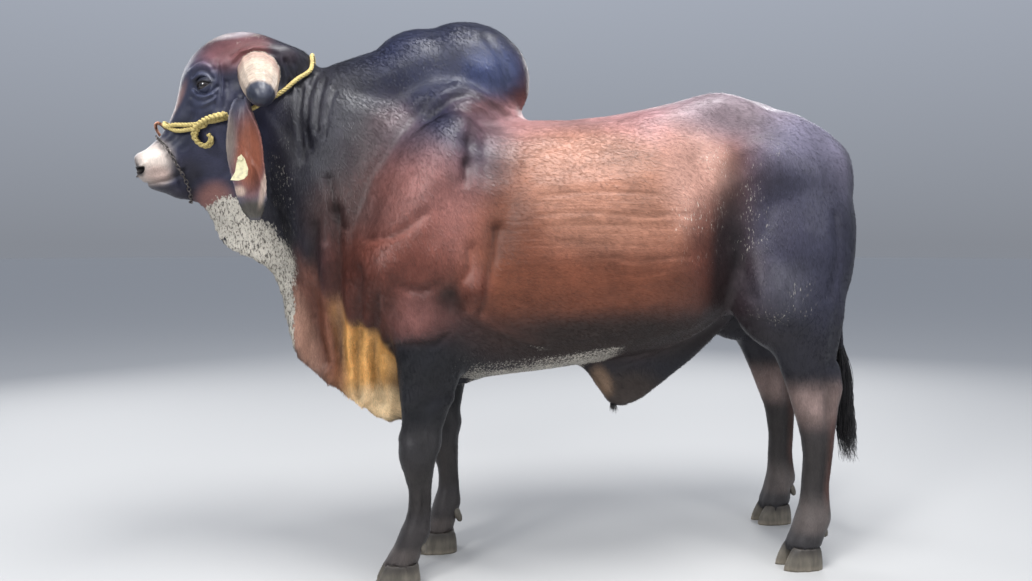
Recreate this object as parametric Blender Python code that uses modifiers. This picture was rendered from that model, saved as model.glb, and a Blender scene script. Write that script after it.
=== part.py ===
"""A life-size still model of a Gyr bull that stands on four feet in a rope halter.

Metres, +Z up. The bull faces -X, its left side faces -Y, and the origin lies on the
ground under the middle of the whole model.
"""

import math

import bmesh
import bpy
import numpy as np
from mathutils import Matrix, Vector
from mathutils.bvhtree import BVHTree

# Driving sizes of the animal
BACK_HEIGHT = 1.335
HUMP_HEIGHT = 1.62
HIP_HEIGHT = 1.43
BARREL_HALF_WIDTH = 0.345
BELLY_HEIGHT = 0.60
FORE_FOOT_X, FORE_FOOT_Y = -0.392, 0.127
HIND_FOOT_X, HIND_FOOT_Y = 0.800, 0.200
RIGHT_FORE_STEP = 0.130
RIGHT_HIND_STEP = 0.112

# Gap kept between touching pieces, the push that gives it on a box's faces, and the one
# round the halter, the ring, the chain and the tag
GAP = 0.0003
BOX_PUSH = 0.0006
TRIM_PUSH = 0.0012

LEFT, RIGHT = -1, 1
SIDES = {"left": LEFT, "right": RIGHT}

# Head axis: from the poll down to the muzzle, and square to it towards the forehead
POLL = Vector((-0.72, 0, 1.47))
HEAD_DOWN = Vector((-0.763, 0, -0.646))
HEAD_FRONT = Vector((-0.646, 0, 0.763))
ACROSS = Vector((0, 1, 0))
UP = Vector((0, 0, 1))

VOXEL = 0.007
SMOOTHING = 26
EVEN_TRIANGLES = 11900
SKIN_TRIANGLES = 4250


# Scene, materials and objects


def clear_scene():
    for obj in list(bpy.data.objects):
        bpy.data.objects.remove(obj)


def new_collection(name):
    collection = bpy.data.collections.new(name)
    bpy.context.scene.collection.children.link(collection)
    return collection


def new_material(name, color, roughness, metallic=0.0):
    material = bpy.data.materials.new(name)
    material.use_nodes = True
    shader = material.node_tree.nodes["Principled BSDF"]
    shader.inputs["Base Color"].default_value = (*color, 1.0)
    shader.inputs["Roughness"].default_value = roughness
    shader.inputs["Metallic"].default_value = metallic
    material.diffuse_color = (*color, 1.0)
    return material


def object_from(bm, name, collection):
    """Ends the bmesh and links it as an object with outward faces."""
    bmesh.ops.recalc_face_normals(bm, faces=bm.faces)
    mesh = bpy.data.meshes.new(name)
    bm.to_mesh(mesh)
    bm.free()
    obj = bpy.data.objects.new(name, mesh)
    collection.objects.link(obj)
    return obj


def finished_mesh(obj):
    """A new mesh of the object as its modifiers leave it."""
    bpy.context.view_layer.update()
    graph = bpy.context.evaluated_depsgraph_get()
    return bpy.data.meshes.new_from_object(obj.evaluated_get(graph))


def apply_modifiers(obj):
    mesh = finished_mesh(obj)
    obj.modifiers.clear()
    obj.data = mesh
    return obj


def paint(obj, material):
    obj.data.materials.clear()
    obj.data.materials.append(material)
    obj.data.shade_smooth()
    return obj


# Shapes


def between(rows, steps):
    """Rows of numbers with smooth ones added between them, by a Catmull-Rom spline."""
    rows = np.array(rows, float)
    last = len(rows) - 1
    out = []
    for i in range(last):
        a, b, c, d = (rows[min(max(i + k, 0), last)] for k in (-1, 0, 1, 2))
        for step in range(steps):
            t = step / steps
            out.append(
                b + 0.5 * t * (c - a + t * (2 * a - 5 * b + 4 * c - d + t * (3 * (b - c) + d - a)))
            )
    out.append(rows[last])
    return np.array(out)


def oval(centre, side, up, half_side, half_up, half_down, power=2.0, taper=0.0, count=28):
    """A closed ring of points: a rounded oval whose lower half may narrow by a share taper."""
    points = []
    for i in range(count):
        angle = 2 * math.pi * i / count
        c, s = math.cos(angle), math.sin(angle)
        across = math.copysign(abs(c) ** (2 / power), c)
        along = math.copysign(abs(s) ** (2 / power), s)
        half = half_up if s > 0 else half_down
        narrow = 1.0 - taper * max(0.0, -along)
        points.append(centre + side * (half_side * across * narrow) + up * (half * along))
    return points


def loft(rings, name, collection):
    """A closed skin through rings of equal count, flat at both ends."""
    bm = bmesh.new()
    made = [[bm.verts.new(point) for point in ring] for ring in rings]
    for near, far in zip(made, made[1:]):
        for i in range(len(near)):
            j = (i + 1) % len(near)
            bm.faces.new((near[i], near[j], far[j], far[i]))
    bm.faces.new(made[0])
    bm.faces.new(made[-1])
    return object_from(bm, name, collection)


def ball(centre, radii, tilt, name, collection, count=28):
    """An ellipsoid turned by tilt degrees about the Y axis."""
    bm = bmesh.new()
    bmesh.ops.create_uvsphere(bm, u_segments=count, v_segments=2 * count // 3, radius=1.0)
    turn = Matrix.Rotation(math.radians(tilt), 4, "Y")
    size = Matrix.Diagonal((*radii, 1.0))
    bm.transform(Matrix.Translation(centre) @ turn @ size)
    return object_from(bm, name, collection)


def sweep(rows, name, collection, power=2.0, taper=0.0, steps=5):
    """A loft along a path in the XZ plane. A row is x, z, half width, half up, half down."""
    rows = between(rows, steps)
    path = rows[:, :2]
    heading = np.gradient(path, axis=0)
    rings = []
    for (x, z, half, up, down), (dx, dz) in zip(rows, heading):
        ahead = Vector((dx, 0, dz)).normalized()
        rise = Vector((-ahead.z, 0, ahead.x))
        if rise.z < 0:
            rise = -rise
        rings.append(oval(Vector((x, 0, z)), ACROSS, rise, half, up, down, power, taper))
    return loft(rings, name, collection)


def limb(rows, side, step, top, name, collection):
    """A leg of level ovals. A row is x, y, z, half fore and aft, half across.

    The foot is moved by step along X, and the move fades out at the height top.
    """
    rings = []
    for x, y, z, fore, across in between(rows, 5):
        fade = 1.0 - min(1.0, z / top)
        centre = Vector((x + step * fade ** 0.7, side * y, z))
        rings.append(oval(centre, Vector((1, 0, 0)), ACROSS, fore, across, across, 2.1))
    return loft(rings, name, collection)


def curtain(rows, wave, name, collection, steps=4, drops=9):
    """A hanging fold. A row is edge x, edge z, root x, root z, edge half, root half thickness."""
    rings = []
    for edge_x, edge_z, root_x, root_z, edge_half, root_half in between(rows, steps):
        near, far = [], []
        for drop in range(drops + 1):
            t = drop / drops
            x = root_x + (edge_x - root_x) * t
            z = root_z + (edge_z - root_z) * t
            half = root_half + (edge_half - root_half) * min(1.0, 1.35 * t) ** 0.8
            if drop == drops:
                half *= 0.45
            sway = wave(x, z) * t ** 1.5
            near.append(Vector((x, sway - half, z)))
            far.append(Vector((x, sway + half, z)))
        rings.append(near + far[::-1])
    return loft(rings, name, collection)


def head_point(down, front, across=0.0):
    """A place on the head: metres down its axis from the poll, towards the forehead, to the right."""
    return POLL + HEAD_DOWN * down + HEAD_FRONT * front + ACROSS * across


def fuse(pieces, voxel, smooth, name, collection):
    """Melts closed pieces that overlap into one closed skin."""
    bm = bmesh.new()
    for piece in pieces:
        bm.from_mesh(piece.data)
    obj = object_from(bm, name, collection)
    remesh = obj.modifiers.new("melt", "REMESH")
    remesh.mode = "VOXEL"
    remesh.voxel_size = voxel
    soften = obj.modifiers.new("soften", "SMOOTH")
    soften.factor = 0.5
    soften.iterations = smooth
    return apply_modifiers(obj)


def thin_out(obj, triangles, spared=""):
    """Collapses the skin to that many triangles. Places in the group spared aren't touched."""
    count = sum(len(p.vertices) - 2 for p in obj.data.polygons)
    decimate = obj.modifiers.new("thin", "DECIMATE")
    decimate.ratio = min(1.0, triangles / count)
    decimate.vertex_group = spared
    decimate.invert_vertex_group = bool(spared)
    return apply_modifiers(obj)


# Booleans


def boolean(obj, other, operation):
    step = obj.modifiers.new("cut", "BOOLEAN")
    step.operation = operation
    step.object = other
    step.solver = "MANIFOLD"
    return apply_modifiers(obj)


def largest_body(obj):
    """Keeps only the largest closed surface of a mesh."""
    bm = bmesh.new()
    bm.from_mesh(obj.data)
    bm.verts.ensure_lookup_table()
    seen, best = set(), []
    for start in bm.verts:
        if start in seen:
            continue
        group, stack = [], [start]
        seen.add(start)
        while stack:
            vert = stack.pop()
            group.append(vert)
            for edge in vert.link_edges:
                other = edge.other_vert(vert)
                if other not in seen:
                    seen.add(other)
                    stack.append(other)
        if len(group) > len(best):
            best = group
    keep = set(best)
    bmesh.ops.delete(bm, geom=[v for v in bm.verts if v not in keep], context="VERTS")
    bm.to_mesh(obj.data)
    bm.free()
    return obj


def copy_of(obj, name, collection):
    twin = bpy.data.objects.new(name, obj.data.copy())
    twin.matrix_world = obj.matrix_world.copy()
    collection.objects.link(twin)
    return twin


def grown(obj, push, collection):
    """A copy of a piece with its skin pushed out, to cut room for the piece."""
    twin = copy_of(obj, obj.name + "_room", collection)
    swell = twin.modifiers.new("swell", "DISPLACE")
    swell.strength = push
    swell.mid_level = 0.0
    return apply_modifiers(twin)


def prism(outline, low_y, high_y, name, collection):
    """A solid block of that XZ outline between two Y planes."""
    bm = bmesh.new()
    face = bm.faces.new([bm.verts.new((x, low_y, z)) for x, z in outline])
    block = bmesh.ops.extrude_face_region(bm, geom=[face])
    moved = [item for item in block["geom"] if isinstance(item, bmesh.types.BMVert)]
    bmesh.ops.translate(bm, verts=moved, vec=(0, high_y - low_y, 0))
    return object_from(bm, name, collection)


def part_off(body, block, name, parts, guides):
    """Cuts the share of body inside block off as its own object, with a thin gap all round."""
    piece = copy_of(body, name, parts)
    boolean(piece, block, "INTERSECT")
    largest_body(piece)
    boolean(body, grown(block, BOX_PUSH, guides), "DIFFERENCE")
    return piece


def make_room(body, piece, guides, push=1.3 * GAP):
    """Cuts a socket for piece into body."""
    boolean(body, grown(piece, push, guides), "DIFFERENCE")
    return largest_body(body)


# Masses of the body


def torso_masses(guides):
    """The barrel from chest to rump. A row is x, top, bottom, half width."""
    rows = (
        (-0.53, 1.10, 0.84, 0.08),
        (-0.47, 1.24, 0.70, 0.18),
        (-0.36, 1.32, 0.60, 0.255),
        (-0.20, BACK_HEIGHT + 0.010, 0.570, 0.295),
        (0.00, BACK_HEIGHT, BELLY_HEIGHT - 0.015, 0.322),
        (0.18, BACK_HEIGHT + 0.010, BELLY_HEIGHT + 0.010, BARREL_HALF_WIDTH),
        (0.34, BACK_HEIGHT + 0.040, BELLY_HEIGHT + 0.035, 0.340),
        (0.48, HIP_HEIGHT - 0.030, BELLY_HEIGHT + 0.075, 0.305),
        (0.60, HIP_HEIGHT - 0.002, BELLY_HEIGHT + 0.135, 0.260),
        (0.74, HIP_HEIGHT - 0.028, 0.800, 0.225),
        (0.86, HIP_HEIGHT - 0.082, 0.850, 0.180),
        (0.935, HIP_HEIGHT - 0.150, 0.920, 0.110),
        (0.960, HIP_HEIGHT - 0.210, 1.000, 0.050),
    )
    rings = []
    for x, top, bottom, half in between(rows, 5):
        middle = bottom + 0.46 * (top - bottom)
        centre = Vector((x, 0, middle))
        rings.append(oval(centre, ACROSS, UP, half, top - middle, middle - bottom, 2.25))
    masses = [loft(rings, "barrel", guides)]
    for side in SIDES.values():
        masses += [
            ball((0.42, side * 0.120, HIP_HEIGHT - 0.119), (0.260, 0.100, 0.066), -9, "loin", guides),
            ball((0.56, side * 0.165, HIP_HEIGHT - 0.085), (0.140, 0.085, 0.060), 10, "hook", guides),
            ball((0.893, side * 0.095, 1.205), (0.065, 0.060, 0.080), 20, "pin", guides),
            ball((0.71, side * 0.130, 1.17), (0.27, 0.140, 0.200), 12, "rump", guides),
            ball((0.765, side * 0.155, 0.96), (0.205, 0.125, 0.320), 4, "thigh", guides),
            ball((0.862, side * 0.120, 0.93), (0.110, 0.095, 0.270), 0, "buttock", guides),
            ball((0.650, side * 0.195, 0.86), (0.100, 0.080, 0.200), -14, "stifle", guides),
        ]
    return masses


def shoulder_masses(guides):
    masses = []
    for side in SIDES.values():
        masses += [
            ball((-0.310, side * 0.175, 1.06), (0.150, 0.095, 0.280), 22, "blade", guides),
            ball((-0.415, side * 0.165, 0.90), (0.105, 0.085, 0.130), 0, "shoulder_point", guides),
            ball((-0.270, side * 0.185, 0.84), (0.140, 0.088, 0.180), -14, "triceps", guides),
        ]
    return masses


def neck_masses(guides):
    body = (
        (-0.80, 1.345, 0.095, 0.110, 0.140),
        (-0.68, 1.300, 0.118, 0.170, 0.190),
        (-0.56, 1.225, 0.155, 0.240, 0.265),
        (-0.43, 1.115, 0.200, 0.320, 0.350),
        (-0.28, 0.990, 0.240, 0.360, 0.380),
    )
    crest = (
        (-0.70, 1.375, 0.070, 0.070, 0.100),
        (-0.61, 1.380, 0.078, 0.080, 0.120),
        (-0.51, 1.410, 0.095, 0.088, 0.150),
        (-0.38, 1.440, 0.110, 0.095, 0.180),
        (-0.25, 1.430, 0.110, 0.090, 0.180),
    )
    return [
        sweep(body, "neck_core", guides, 2.2),
        sweep(crest, "crest", guides),
        ball((-0.835, 0, 1.205), (0.115, 0.062, 0.100), 35, "throat", guides),
    ]


def hump_masses(guides):
    crown = HUMP_HEIGHT - 0.168
    return [
        ball((-0.182, 0, crown), (0.190, 0.118, 0.168), 4, "hump_back", guides),
        ball((-0.310, 0, crown - 0.020), (0.170, 0.112, 0.163), 0, "hump_front", guides),
        ball((-0.225, 0, crown - 0.110), (0.210, 0.160, 0.130), 0, "hump_foot", guides),
    ]


FORE_LEG = (
    (-0.315, 0.190, 0.860, 0.120, 0.078),
    (-0.305, 0.182, 0.740, 0.118, 0.076),
    (-0.303, 0.170, 0.650, 0.102, 0.070),
    (-0.315, 0.158, 0.560, 0.080, 0.062),
    (-0.327, 0.148, 0.470, 0.062, 0.054),
    (-0.337, 0.142, 0.410, 0.055, 0.051),
    (-0.341, 0.138, 0.365, 0.054, 0.055),
    (-0.339, 0.135, 0.320, 0.045, 0.048),
    (-0.336, 0.132, 0.270, 0.036, 0.038),
    (-0.338, 0.130, 0.210, 0.036, 0.036),
    (-0.350, 0.128, 0.150, 0.043, 0.046),
    (-0.370, FORE_FOOT_Y, 0.105, 0.044, 0.050),
    (-0.388, FORE_FOOT_Y, 0.070, 0.052, 0.055),
    (-0.392, FORE_FOOT_Y, 0.052, 0.054, 0.055),
)

HIND_LEG = (
    (0.765, 0.195, 0.860, 0.150, 0.080),
    (0.775, 0.200, 0.760, 0.140, 0.075),
    (0.795, 0.198, 0.680, 0.112, 0.064),
    (0.810, 0.195, 0.610, 0.090, 0.054),
    (0.832, 0.195, 0.545, 0.085, 0.050),
    (0.844, 0.195, 0.475, 0.069, 0.047),
    (0.849, 0.196, 0.400, 0.054, 0.042),
    (0.848, 0.198, 0.320, 0.046, 0.038),
    (0.842, HIND_FOOT_Y, 0.240, 0.044, 0.037),
    (0.840, HIND_FOOT_Y, 0.170, 0.048, 0.046),
    (0.824, HIND_FOOT_Y, 0.110, 0.052, 0.050),
    (0.806, HIND_FOOT_Y, 0.070, 0.056, 0.055),
    (0.802, HIND_FOOT_Y, 0.052, 0.057, 0.056),
)

FORE_TOP, HIND_TOP = 0.95, 1.05


def fore_step(side):
    return RIGHT_FORE_STEP if side == RIGHT else 0.0


def hind_step(side):
    return RIGHT_HIND_STEP if side == RIGHT else 0.0


def leg_masses(guides):
    masses = []
    for side in SIDES.values():
        masses += [
            limb(FORE_LEG, side, fore_step(side), FORE_TOP, "fore_limb", guides),
            limb(HIND_LEG, side, hind_step(side), HIND_TOP, "hind_limb", guides),
            ball(
                (0.900 + 0.6 * hind_step(side), side * 0.195, 0.560),
                (0.022, 0.024, 0.060), 8, "hock_point", guides,
            ),
        ]
    return masses


def dewlap_wave(x, z):
    """Sideways sway of the hanging folds, deepest low on the brisket."""
    depth = 0.020 * min(1.0, max(0.0, (1.02 - z) / 0.35))
    return depth * math.sin(2 * math.pi * (x + 0.40) / 0.085)


def straight(_x, _z):
    return 0.0


def fold_masses(guides):
    """The dewlap from the chin to the brisket, and the fold along the belly to the sheath."""
    dewlap = (
        (-0.990, 1.115, -0.93, 1.16, 0.016, 0.030),
        (-0.925, 1.055, -0.86, 1.18, 0.014, 0.050),
        (-0.890, 0.965, -0.80, 1.18, 0.012, 0.055),
        (-0.835, 0.932, -0.71, 1.12, 0.012, 0.060),
        (-0.760, 0.890, -0.66, 1.02, 0.012, 0.070),
        (-0.727, 0.800, -0.60, 0.90, 0.012, 0.075),
        (-0.708, 0.700, -0.54, 0.82, 0.012, 0.080),
        (-0.675, 0.620, -0.50, 0.74, 0.012, 0.080),
        (-0.600, 0.558, -0.45, 0.70, 0.012, 0.080),
        (-0.515, 0.490, -0.41, 0.68, 0.012, 0.075),
        (-0.440, 0.436, -0.37, 0.66, 0.012, 0.070),
        (-0.340, 0.450, -0.30, 0.64, 0.014, 0.070),
        (-0.240, 0.515, -0.22, 0.64, 0.016, 0.060),
    )
    belly = (
        (-0.280, 0.520, -0.26, 0.66, 0.014, 0.060),
        (-0.180, 0.545, -0.16, 0.68, 0.014, 0.060),
        (-0.050, 0.588, -0.04, 0.68, 0.014, 0.060),
        (0.070, 0.608, 0.08, 0.68, 0.016, 0.060),
        (0.165, 0.590, 0.18, 0.70, 0.024, 0.070),
        (0.225, 0.520, 0.28, 0.70, 0.036, 0.080),
        (0.265, 0.468, 0.38, 0.72, 0.042, 0.090),
        (0.335, 0.474, 0.46, 0.74, 0.042, 0.095),
        (0.440, 0.545, 0.54, 0.78, 0.038, 0.090),
        (0.540, 0.620, 0.62, 0.82, 0.034, 0.080),
        (0.640, 0.715, 0.68, 0.86, 0.030, 0.070),
    )
    return [
        curtain(dewlap, dewlap_wave, "dewlap_fold", guides, drops=12),
        curtain(belly, straight, "belly_fold", guides),
        ball((0.762, 0, 0.775), (0.050, 0.058, 0.130), 0, "scrotum_mass", guides),
    ]


def head_masses(guides):
    """The skull, jaw and muzzle. A row is metres down the axis, front, back, half width."""
    rows = (
        (-0.085, -0.055, 0.075, 0.040),
        (-0.064, 0.010, 0.115, 0.086),
        (-0.032, 0.074, 0.130, 0.106),
        (0.000, 0.118, 0.140, 0.118),
        (0.060, 0.157, 0.160, 0.127),
        (0.130, 0.167, 0.172, 0.127),
        (0.190, 0.156, 0.170, 0.115),
        (0.240, 0.127, 0.160, 0.098),
        (0.294, 0.086, 0.150, 0.083),
        (0.360, 0.056, 0.135, 0.070),
        (0.420, 0.047, 0.112, 0.069),
        (0.458, 0.036, 0.088, 0.072),
        (0.482, 0.017, 0.060, 0.064),
        (0.492, -0.008, 0.036, 0.040),
    )
    rings = []
    for down, front, back, half in between(rows, 5):
        rings.append(
            oval(head_point(down, 0), ACROSS, HEAD_FRONT, half, front, back, 2.25, 0.35)
        )
    masses = [loft(rings, "skull", guides)]
    for side in SIDES.values():
        masses += [
            ball(head_point(0.195, -0.060, side * 0.070), (0.120, 0.040, 0.090), 40, "cheek", guides),
            ball(head_point(0.452, 0.006, side * 0.044), (0.046, 0.034, 0.034), 40, "nostril", guides),
        ]
    masses.append(ball(head_point(0.436, -0.070), (0.062, 0.052, 0.034), 40, "chin", guides))
    return masses


# Relief of the hide, in the side view. The heights are metres out of the skin.

# A swelling is x, z, its two half sizes, its turn in degrees and its height
SWELLINGS = (
    (-0.300, 1.120, 0.070, 0.230, 24, 0.016),
    (-0.445, 0.900, 0.060, 0.080, 0, 0.018),
    (-0.285, 0.900, 0.085, 0.100, -20, 0.016),
    (-0.215, 0.810, 0.038, 0.060, 0, 0.012),
    (-0.345, 0.720, 0.060, 0.070, 0, 0.008),
    (0.560, 1.370, 0.090, 0.034, 10, 0.010),
    (0.740, 1.160, 0.150, 0.100, 20, 0.010),
    (0.770, 0.950, 0.120, 0.160, 5, 0.014),
    (0.655, 0.800, 0.060, 0.100, -20, 0.016),
    (0.920, 1.235, 0.045, 0.045, 0, 0.012),
    (0.905, 0.900, 0.050, 0.200, 0, 0.008),
    (0.430, 1.230, 0.070, 0.080, 0, -0.014),
    (-0.110, 1.080, 0.045, 0.190, 8, -0.010),
    (0.530, 0.960, 0.060, 0.170, 0, -0.014),
    (0.640, 1.090, 0.050, 0.080, 30, -0.008),
    (-0.355, 0.805, 0.030, 0.028, 0, -0.012),
    (-0.500, 1.160, 0.040, 0.200, 10, -0.010),
    (0.100, 1.000, 0.200, 0.230, 0, 0.008),
)

# A groove is its half width, its depth and the places it runs through
GROOVES = (
    (0.022, 0.012, ((-0.020, 1.368), (-0.080, 1.385), (-0.130, 1.410), (-0.180, 1.425))),
    (0.016, 0.010, ((-0.175, 1.300), (-0.165, 1.220), (-0.160, 1.140))),
    (0.014, 0.010, ((-0.205, 0.960), (-0.200, 0.900), (-0.240, 0.850))),
    (0.014, 0.008, ((-0.400, 0.690), (-0.350, 0.680), (-0.290, 0.690))),
    (0.016, 0.010, ((-0.420, 0.800), (-0.380, 0.760), (-0.330, 0.790))),
    (0.020, 0.008, ((0.600, 0.720), (0.570, 0.800), (0.560, 0.900))),
    (0.018, 0.010, ((0.860, 0.760), (0.870, 0.690), (0.868, 0.610))),
    (0.014, 0.006, ((-0.312, 0.300), (-0.312, 0.240), (-0.318, 0.190))),
    (0.010, 0.006, ((-0.640, 1.470), (-0.650, 1.420), (-0.660, 1.360))),
    (0.010, 0.006, ((-0.600, 1.455), (-0.610, 1.400), (-0.630, 1.320))),
)

# The same for the head: brow, eye hollow, cheekbone, jaw edge, lips
HEAD_SWELLINGS = (
    (-0.930, 1.432, 0.036, 0.014, -30, 0.010),
    (-0.905, 1.345, 0.040, 0.014, -38, 0.006),
    (-0.865, 1.270, 0.050, 0.060, 0, 0.008),
    (-0.950, 1.340, 0.022, 0.030, 0, -0.006),
    (-0.985, 1.270, 0.040, 0.024, -40, -0.006),
    (-0.840, 1.400, 0.024, 0.034, 0, -0.008),
    (-1.060, 1.200, 0.026, 0.026, 0, 0.006),
)
MOUTH = ((-1.140, 1.134), (-1.085, 1.144), (-1.050, 1.149), (-1.015, 1.156), (-0.985, 1.170), (-0.962, 1.186))
MOUTH_GAP, MOUTH_DEPTH = 0.0035, 0.006
HEAD_GROOVES = (
    (0.010, -0.004, ((-1.080, 1.128), (-1.030, 1.135), (-0.980, 1.155))),
    (0.010, -0.003, ((-1.060, 1.165), (-1.010, 1.172), (-0.965, 1.202))),
    (0.014, 0.005, ((-0.930, 1.160), (-0.880, 1.165), (-0.820, 1.190))),
    (0.012, 0.004, ((-0.935, 1.320), (-0.980, 1.270), (-1.020, 1.225))),
)


def nearest_on_path(places, path):
    """The distance from each place to a path, both in the side view."""
    nearest = np.full(len(places), 1e9)
    path = np.array(path)
    for start, end in zip(path, path[1:]):
        run = end - start
        share = np.clip((places - start) @ run / (run @ run), 0, 1)
        away = np.linalg.norm(places - (start + share[:, None] * run), axis=1)
        nearest = np.minimum(nearest, away)
    return nearest


def shape_relief(obj, swellings, grooves):
    """Raises and presses the skin on both sides, along its normals."""
    mesh = obj.data
    count = len(mesh.vertices)
    places = np.empty(count * 3)
    mesh.vertices.foreach_get("co", places)
    places = places.reshape(-1, 3)
    normals = np.empty(count * 3)
    mesh.vertices.foreach_get("normal", normals)
    normals = normals.reshape(-1, 3)
    flat = places[:, [0, 2]]
    height = np.zeros(count)
    for x, z, half_x, half_z, turn, rise in swellings:
        c, s = math.cos(math.radians(turn)), math.sin(math.radians(turn))
        away = flat - (x, z)
        along = (away[:, 0] * c - away[:, 1] * s) / half_x
        up = (away[:, 0] * s + away[:, 1] * c) / half_z
        height += rise * np.exp(-0.7 * (along ** 2 + up ** 2))
    for half, depth, path in grooves:
        height -= depth * np.exp(-((nearest_on_path(flat, path) / half) ** 2))
    outward = np.clip(normals[:, 1] * np.sign(places[:, 1]), 0, 1) ** 0.6
    off_middle = np.clip(np.abs(places[:, 1]) / 0.03, 0, 1)
    places += normals * (height * outward * off_middle)[:, None]
    mesh.vertices.foreach_set("co", places.ravel())
    mesh.update()


# Pieces set into the body


def skin_tree(obj):
    bm = bmesh.new()
    bm.from_mesh(obj.data)
    tree = BVHTree.FromBMesh(bm)
    bm.free()
    return tree


def side_point(tree, x, z, side, out=0.0):
    """The place on the skin that the side view shows at x, z, moved out along its normal."""
    place, normal, _, _ = tree.ray_cast(Vector((x, side, z)), Vector((0, -side, 0)))
    return place + normal * out


def tube(path, radius, name, collection, closed=False, count=8, flat=1.0):
    """A round rod along a path of places. It may be flattened across the first normal."""
    path = [Vector(p) for p in path]
    last = len(path) - 1
    rings = []
    rise = None
    for i, place in enumerate(path):
        before = path[i - 1] if i or closed else place
        after = path[(i + 1) % len(path)] if i < last or closed else place
        ahead = (after - before).normalized()
        if rise is None:
            rise = ahead.orthogonal().normalized()
        rise = (rise - ahead * rise.dot(ahead)).normalized()
        aside = ahead.cross(rise)
        half = radius[i] if isinstance(radius, (list, tuple)) else radius
        ring = []
        for k in range(count):
            angle = 2 * math.pi * k / count
            ring.append(
                place + rise * (half * math.cos(angle)) + aside * (half * flat * math.sin(angle))
            )
        rings.append(ring)
    if not closed:
        return loft(rings, name, collection)
    bm = bmesh.new()
    made = [[bm.verts.new(point) for point in ring] for ring in rings]
    shift = best_shift(rings[-1], rings[0])
    for i, near in enumerate(made):
        far = made[(i + 1) % len(made)]
        turn = shift if i == last else 0
        for k in range(count):
            j = (k + 1) % count
            bm.faces.new((near[k], near[j], far[(j + turn) % count], far[(k + turn) % count]))
    return object_from(bm, name, collection)


def best_shift(near, far):
    """How many points to turn the ring far, so that it meets the ring near without a twist."""
    count = len(near)
    return min(
        range(count),
        key=lambda turn: sum((near[k] - far[(k + turn) % count]).length for k in range(count)),
    )


def smooth_path(points, steps):
    return [Vector(p) for p in between([tuple(p) for p in points], steps)]


HORN = (
    # along the horn, down, back, radius
    (-0.050, -0.010, 0.000, 0.050),
    (0.000, 0.000, 0.000, 0.056),
    (0.035, 0.016, 0.003, 0.054),
    (0.075, 0.036, 0.008, 0.050),
    (0.115, 0.058, 0.015, 0.045),
    (0.148, 0.078, 0.021, 0.038),
    (0.170, 0.092, 0.025, 0.029),
    (0.184, 0.101, 0.027, 0.017),
    (0.190, 0.105, 0.028, 0.007),
)
HORN_BASE = (-0.760, 0.108, 1.432)


def horn(side, name, parts):
    path, radii = [], []
    for out, down, back, radius in between(HORN, 2):
        place = Vector((HORN_BASE[0] + back, side * (HORN_BASE[1] + out), HORN_BASE[2] - down))
        path.append(place)
        radii.append(radius)
    return tube(path, radii, name, parts, count=12)


EAR = (
    # x, y, z, half width, sheet half thickness, curl in degrees, facing in degrees from the side
    (-0.800, 0.112, 1.362, 0.028, 0.0060, 250, 40),
    (-0.803, 0.146, 1.350, 0.036, 0.0055, 215, 38),
    (-0.805, 0.166, 1.318, 0.047, 0.0050, 180, 32),
    (-0.803, 0.177, 1.275, 0.058, 0.0045, 145, 26),
    (-0.802, 0.180, 1.235, 0.062, 0.0042, 128, 20),
    (-0.797, 0.180, 1.185, 0.058, 0.0042, 118, 14),
    (-0.786, 0.179, 1.135, 0.051, 0.0042, 112, 8),
    (-0.778, 0.176, 1.090, 0.043, 0.0042, 112, 2),
    (-0.773, 0.172, 1.055, 0.031, 0.0042, 108, -4),
    (-0.768, 0.168, 1.032, 0.014, 0.0038, 90, -8),
)


def ear(side, name, parts, across=8):
    """A long hanging leaf, rolled to a funnel at its root and open towards the front below."""
    rings = []
    for x, y, z, half, thick, curl, facing in between(EAR, 2):
        arc = math.radians(curl)
        bend = 2 * half / arc
        outer, inner = [], []
        for i in range(across):
            angle = arc * (i / (across - 1) - 0.5) + math.radians(facing)
            edge = 1.0 - 0.45 * abs(2 * i / (across - 1) - 1) ** 6
            for half_thick, row in ((thick * edge, outer), (-thick * edge, inner)):
                reach = bend + half_thick
                row.append(
                    Vector((
                        x + reach * math.sin(angle),
                        side * (y + bend * 0.55 - reach * math.cos(angle)),
                        z,
                    ))
                )
        rings.append(outer + inner[::-1])
    return loft(rings, name, parts)


EYE_SIDE = (-0.906, 1.393)
EYE_LONG = Vector((-0.96, 0, -0.28))
SLIT_HALF_LONG, SLIT_HALF_HIGH = 0.0235, 0.0125
EYE_RADIUS = 0.0215
LID = 0.0035
EYE_SINK = 0.0135


def eye_frame(tree, side):
    """The middle of the eyeball and the direction it looks in."""
    place, normal, _, _ = tree.ray_cast(
        Vector((EYE_SIDE[0], side, EYE_SIDE[1])), Vector((0, -side, 0))
    )
    look = (normal + Vector((-0.25, 0, 0.0))).normalized()
    return place - look * EYE_SINK, look


def almond(centre, look, name, collection):
    """A lens-shaped cutter that opens the lids in front of the eyeball."""
    along = (EYE_LONG - look * EYE_LONG.dot(look)).normalized()
    high = look.cross(along).normalized()
    rings = []
    for reach in (0.006, 0.040):
        ring = []
        for k in range(16):
            angle = 2 * math.pi * k / 16
            lift = math.copysign(abs(math.sin(angle)) ** 1.4, math.sin(angle))
            ring.append(
                centre + look * reach + along * (SLIT_HALF_LONG * math.cos(angle))
                + high * (SLIT_HALF_HIGH * lift)
            )
        rings.append(ring)
    return loft(rings, name, collection)


def set_eye(head, tree, side, name, parts, guides):
    """Sets an eyeball behind two lids that are part of the head."""
    centre, look = eye_frame(tree, side)
    boolean(head, ball(centre, [EYE_RADIUS + LID] * 3, 0, "lids", guides, 20), "UNION")
    boolean(head, almond(centre, look, "lid_slit", guides), "DIFFERENCE")
    eyeball = ball(centre, [EYE_RADIUS] * 3, 0, name, parts, 16)
    make_room(head, eyeball, guides)
    return eyeball


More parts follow.
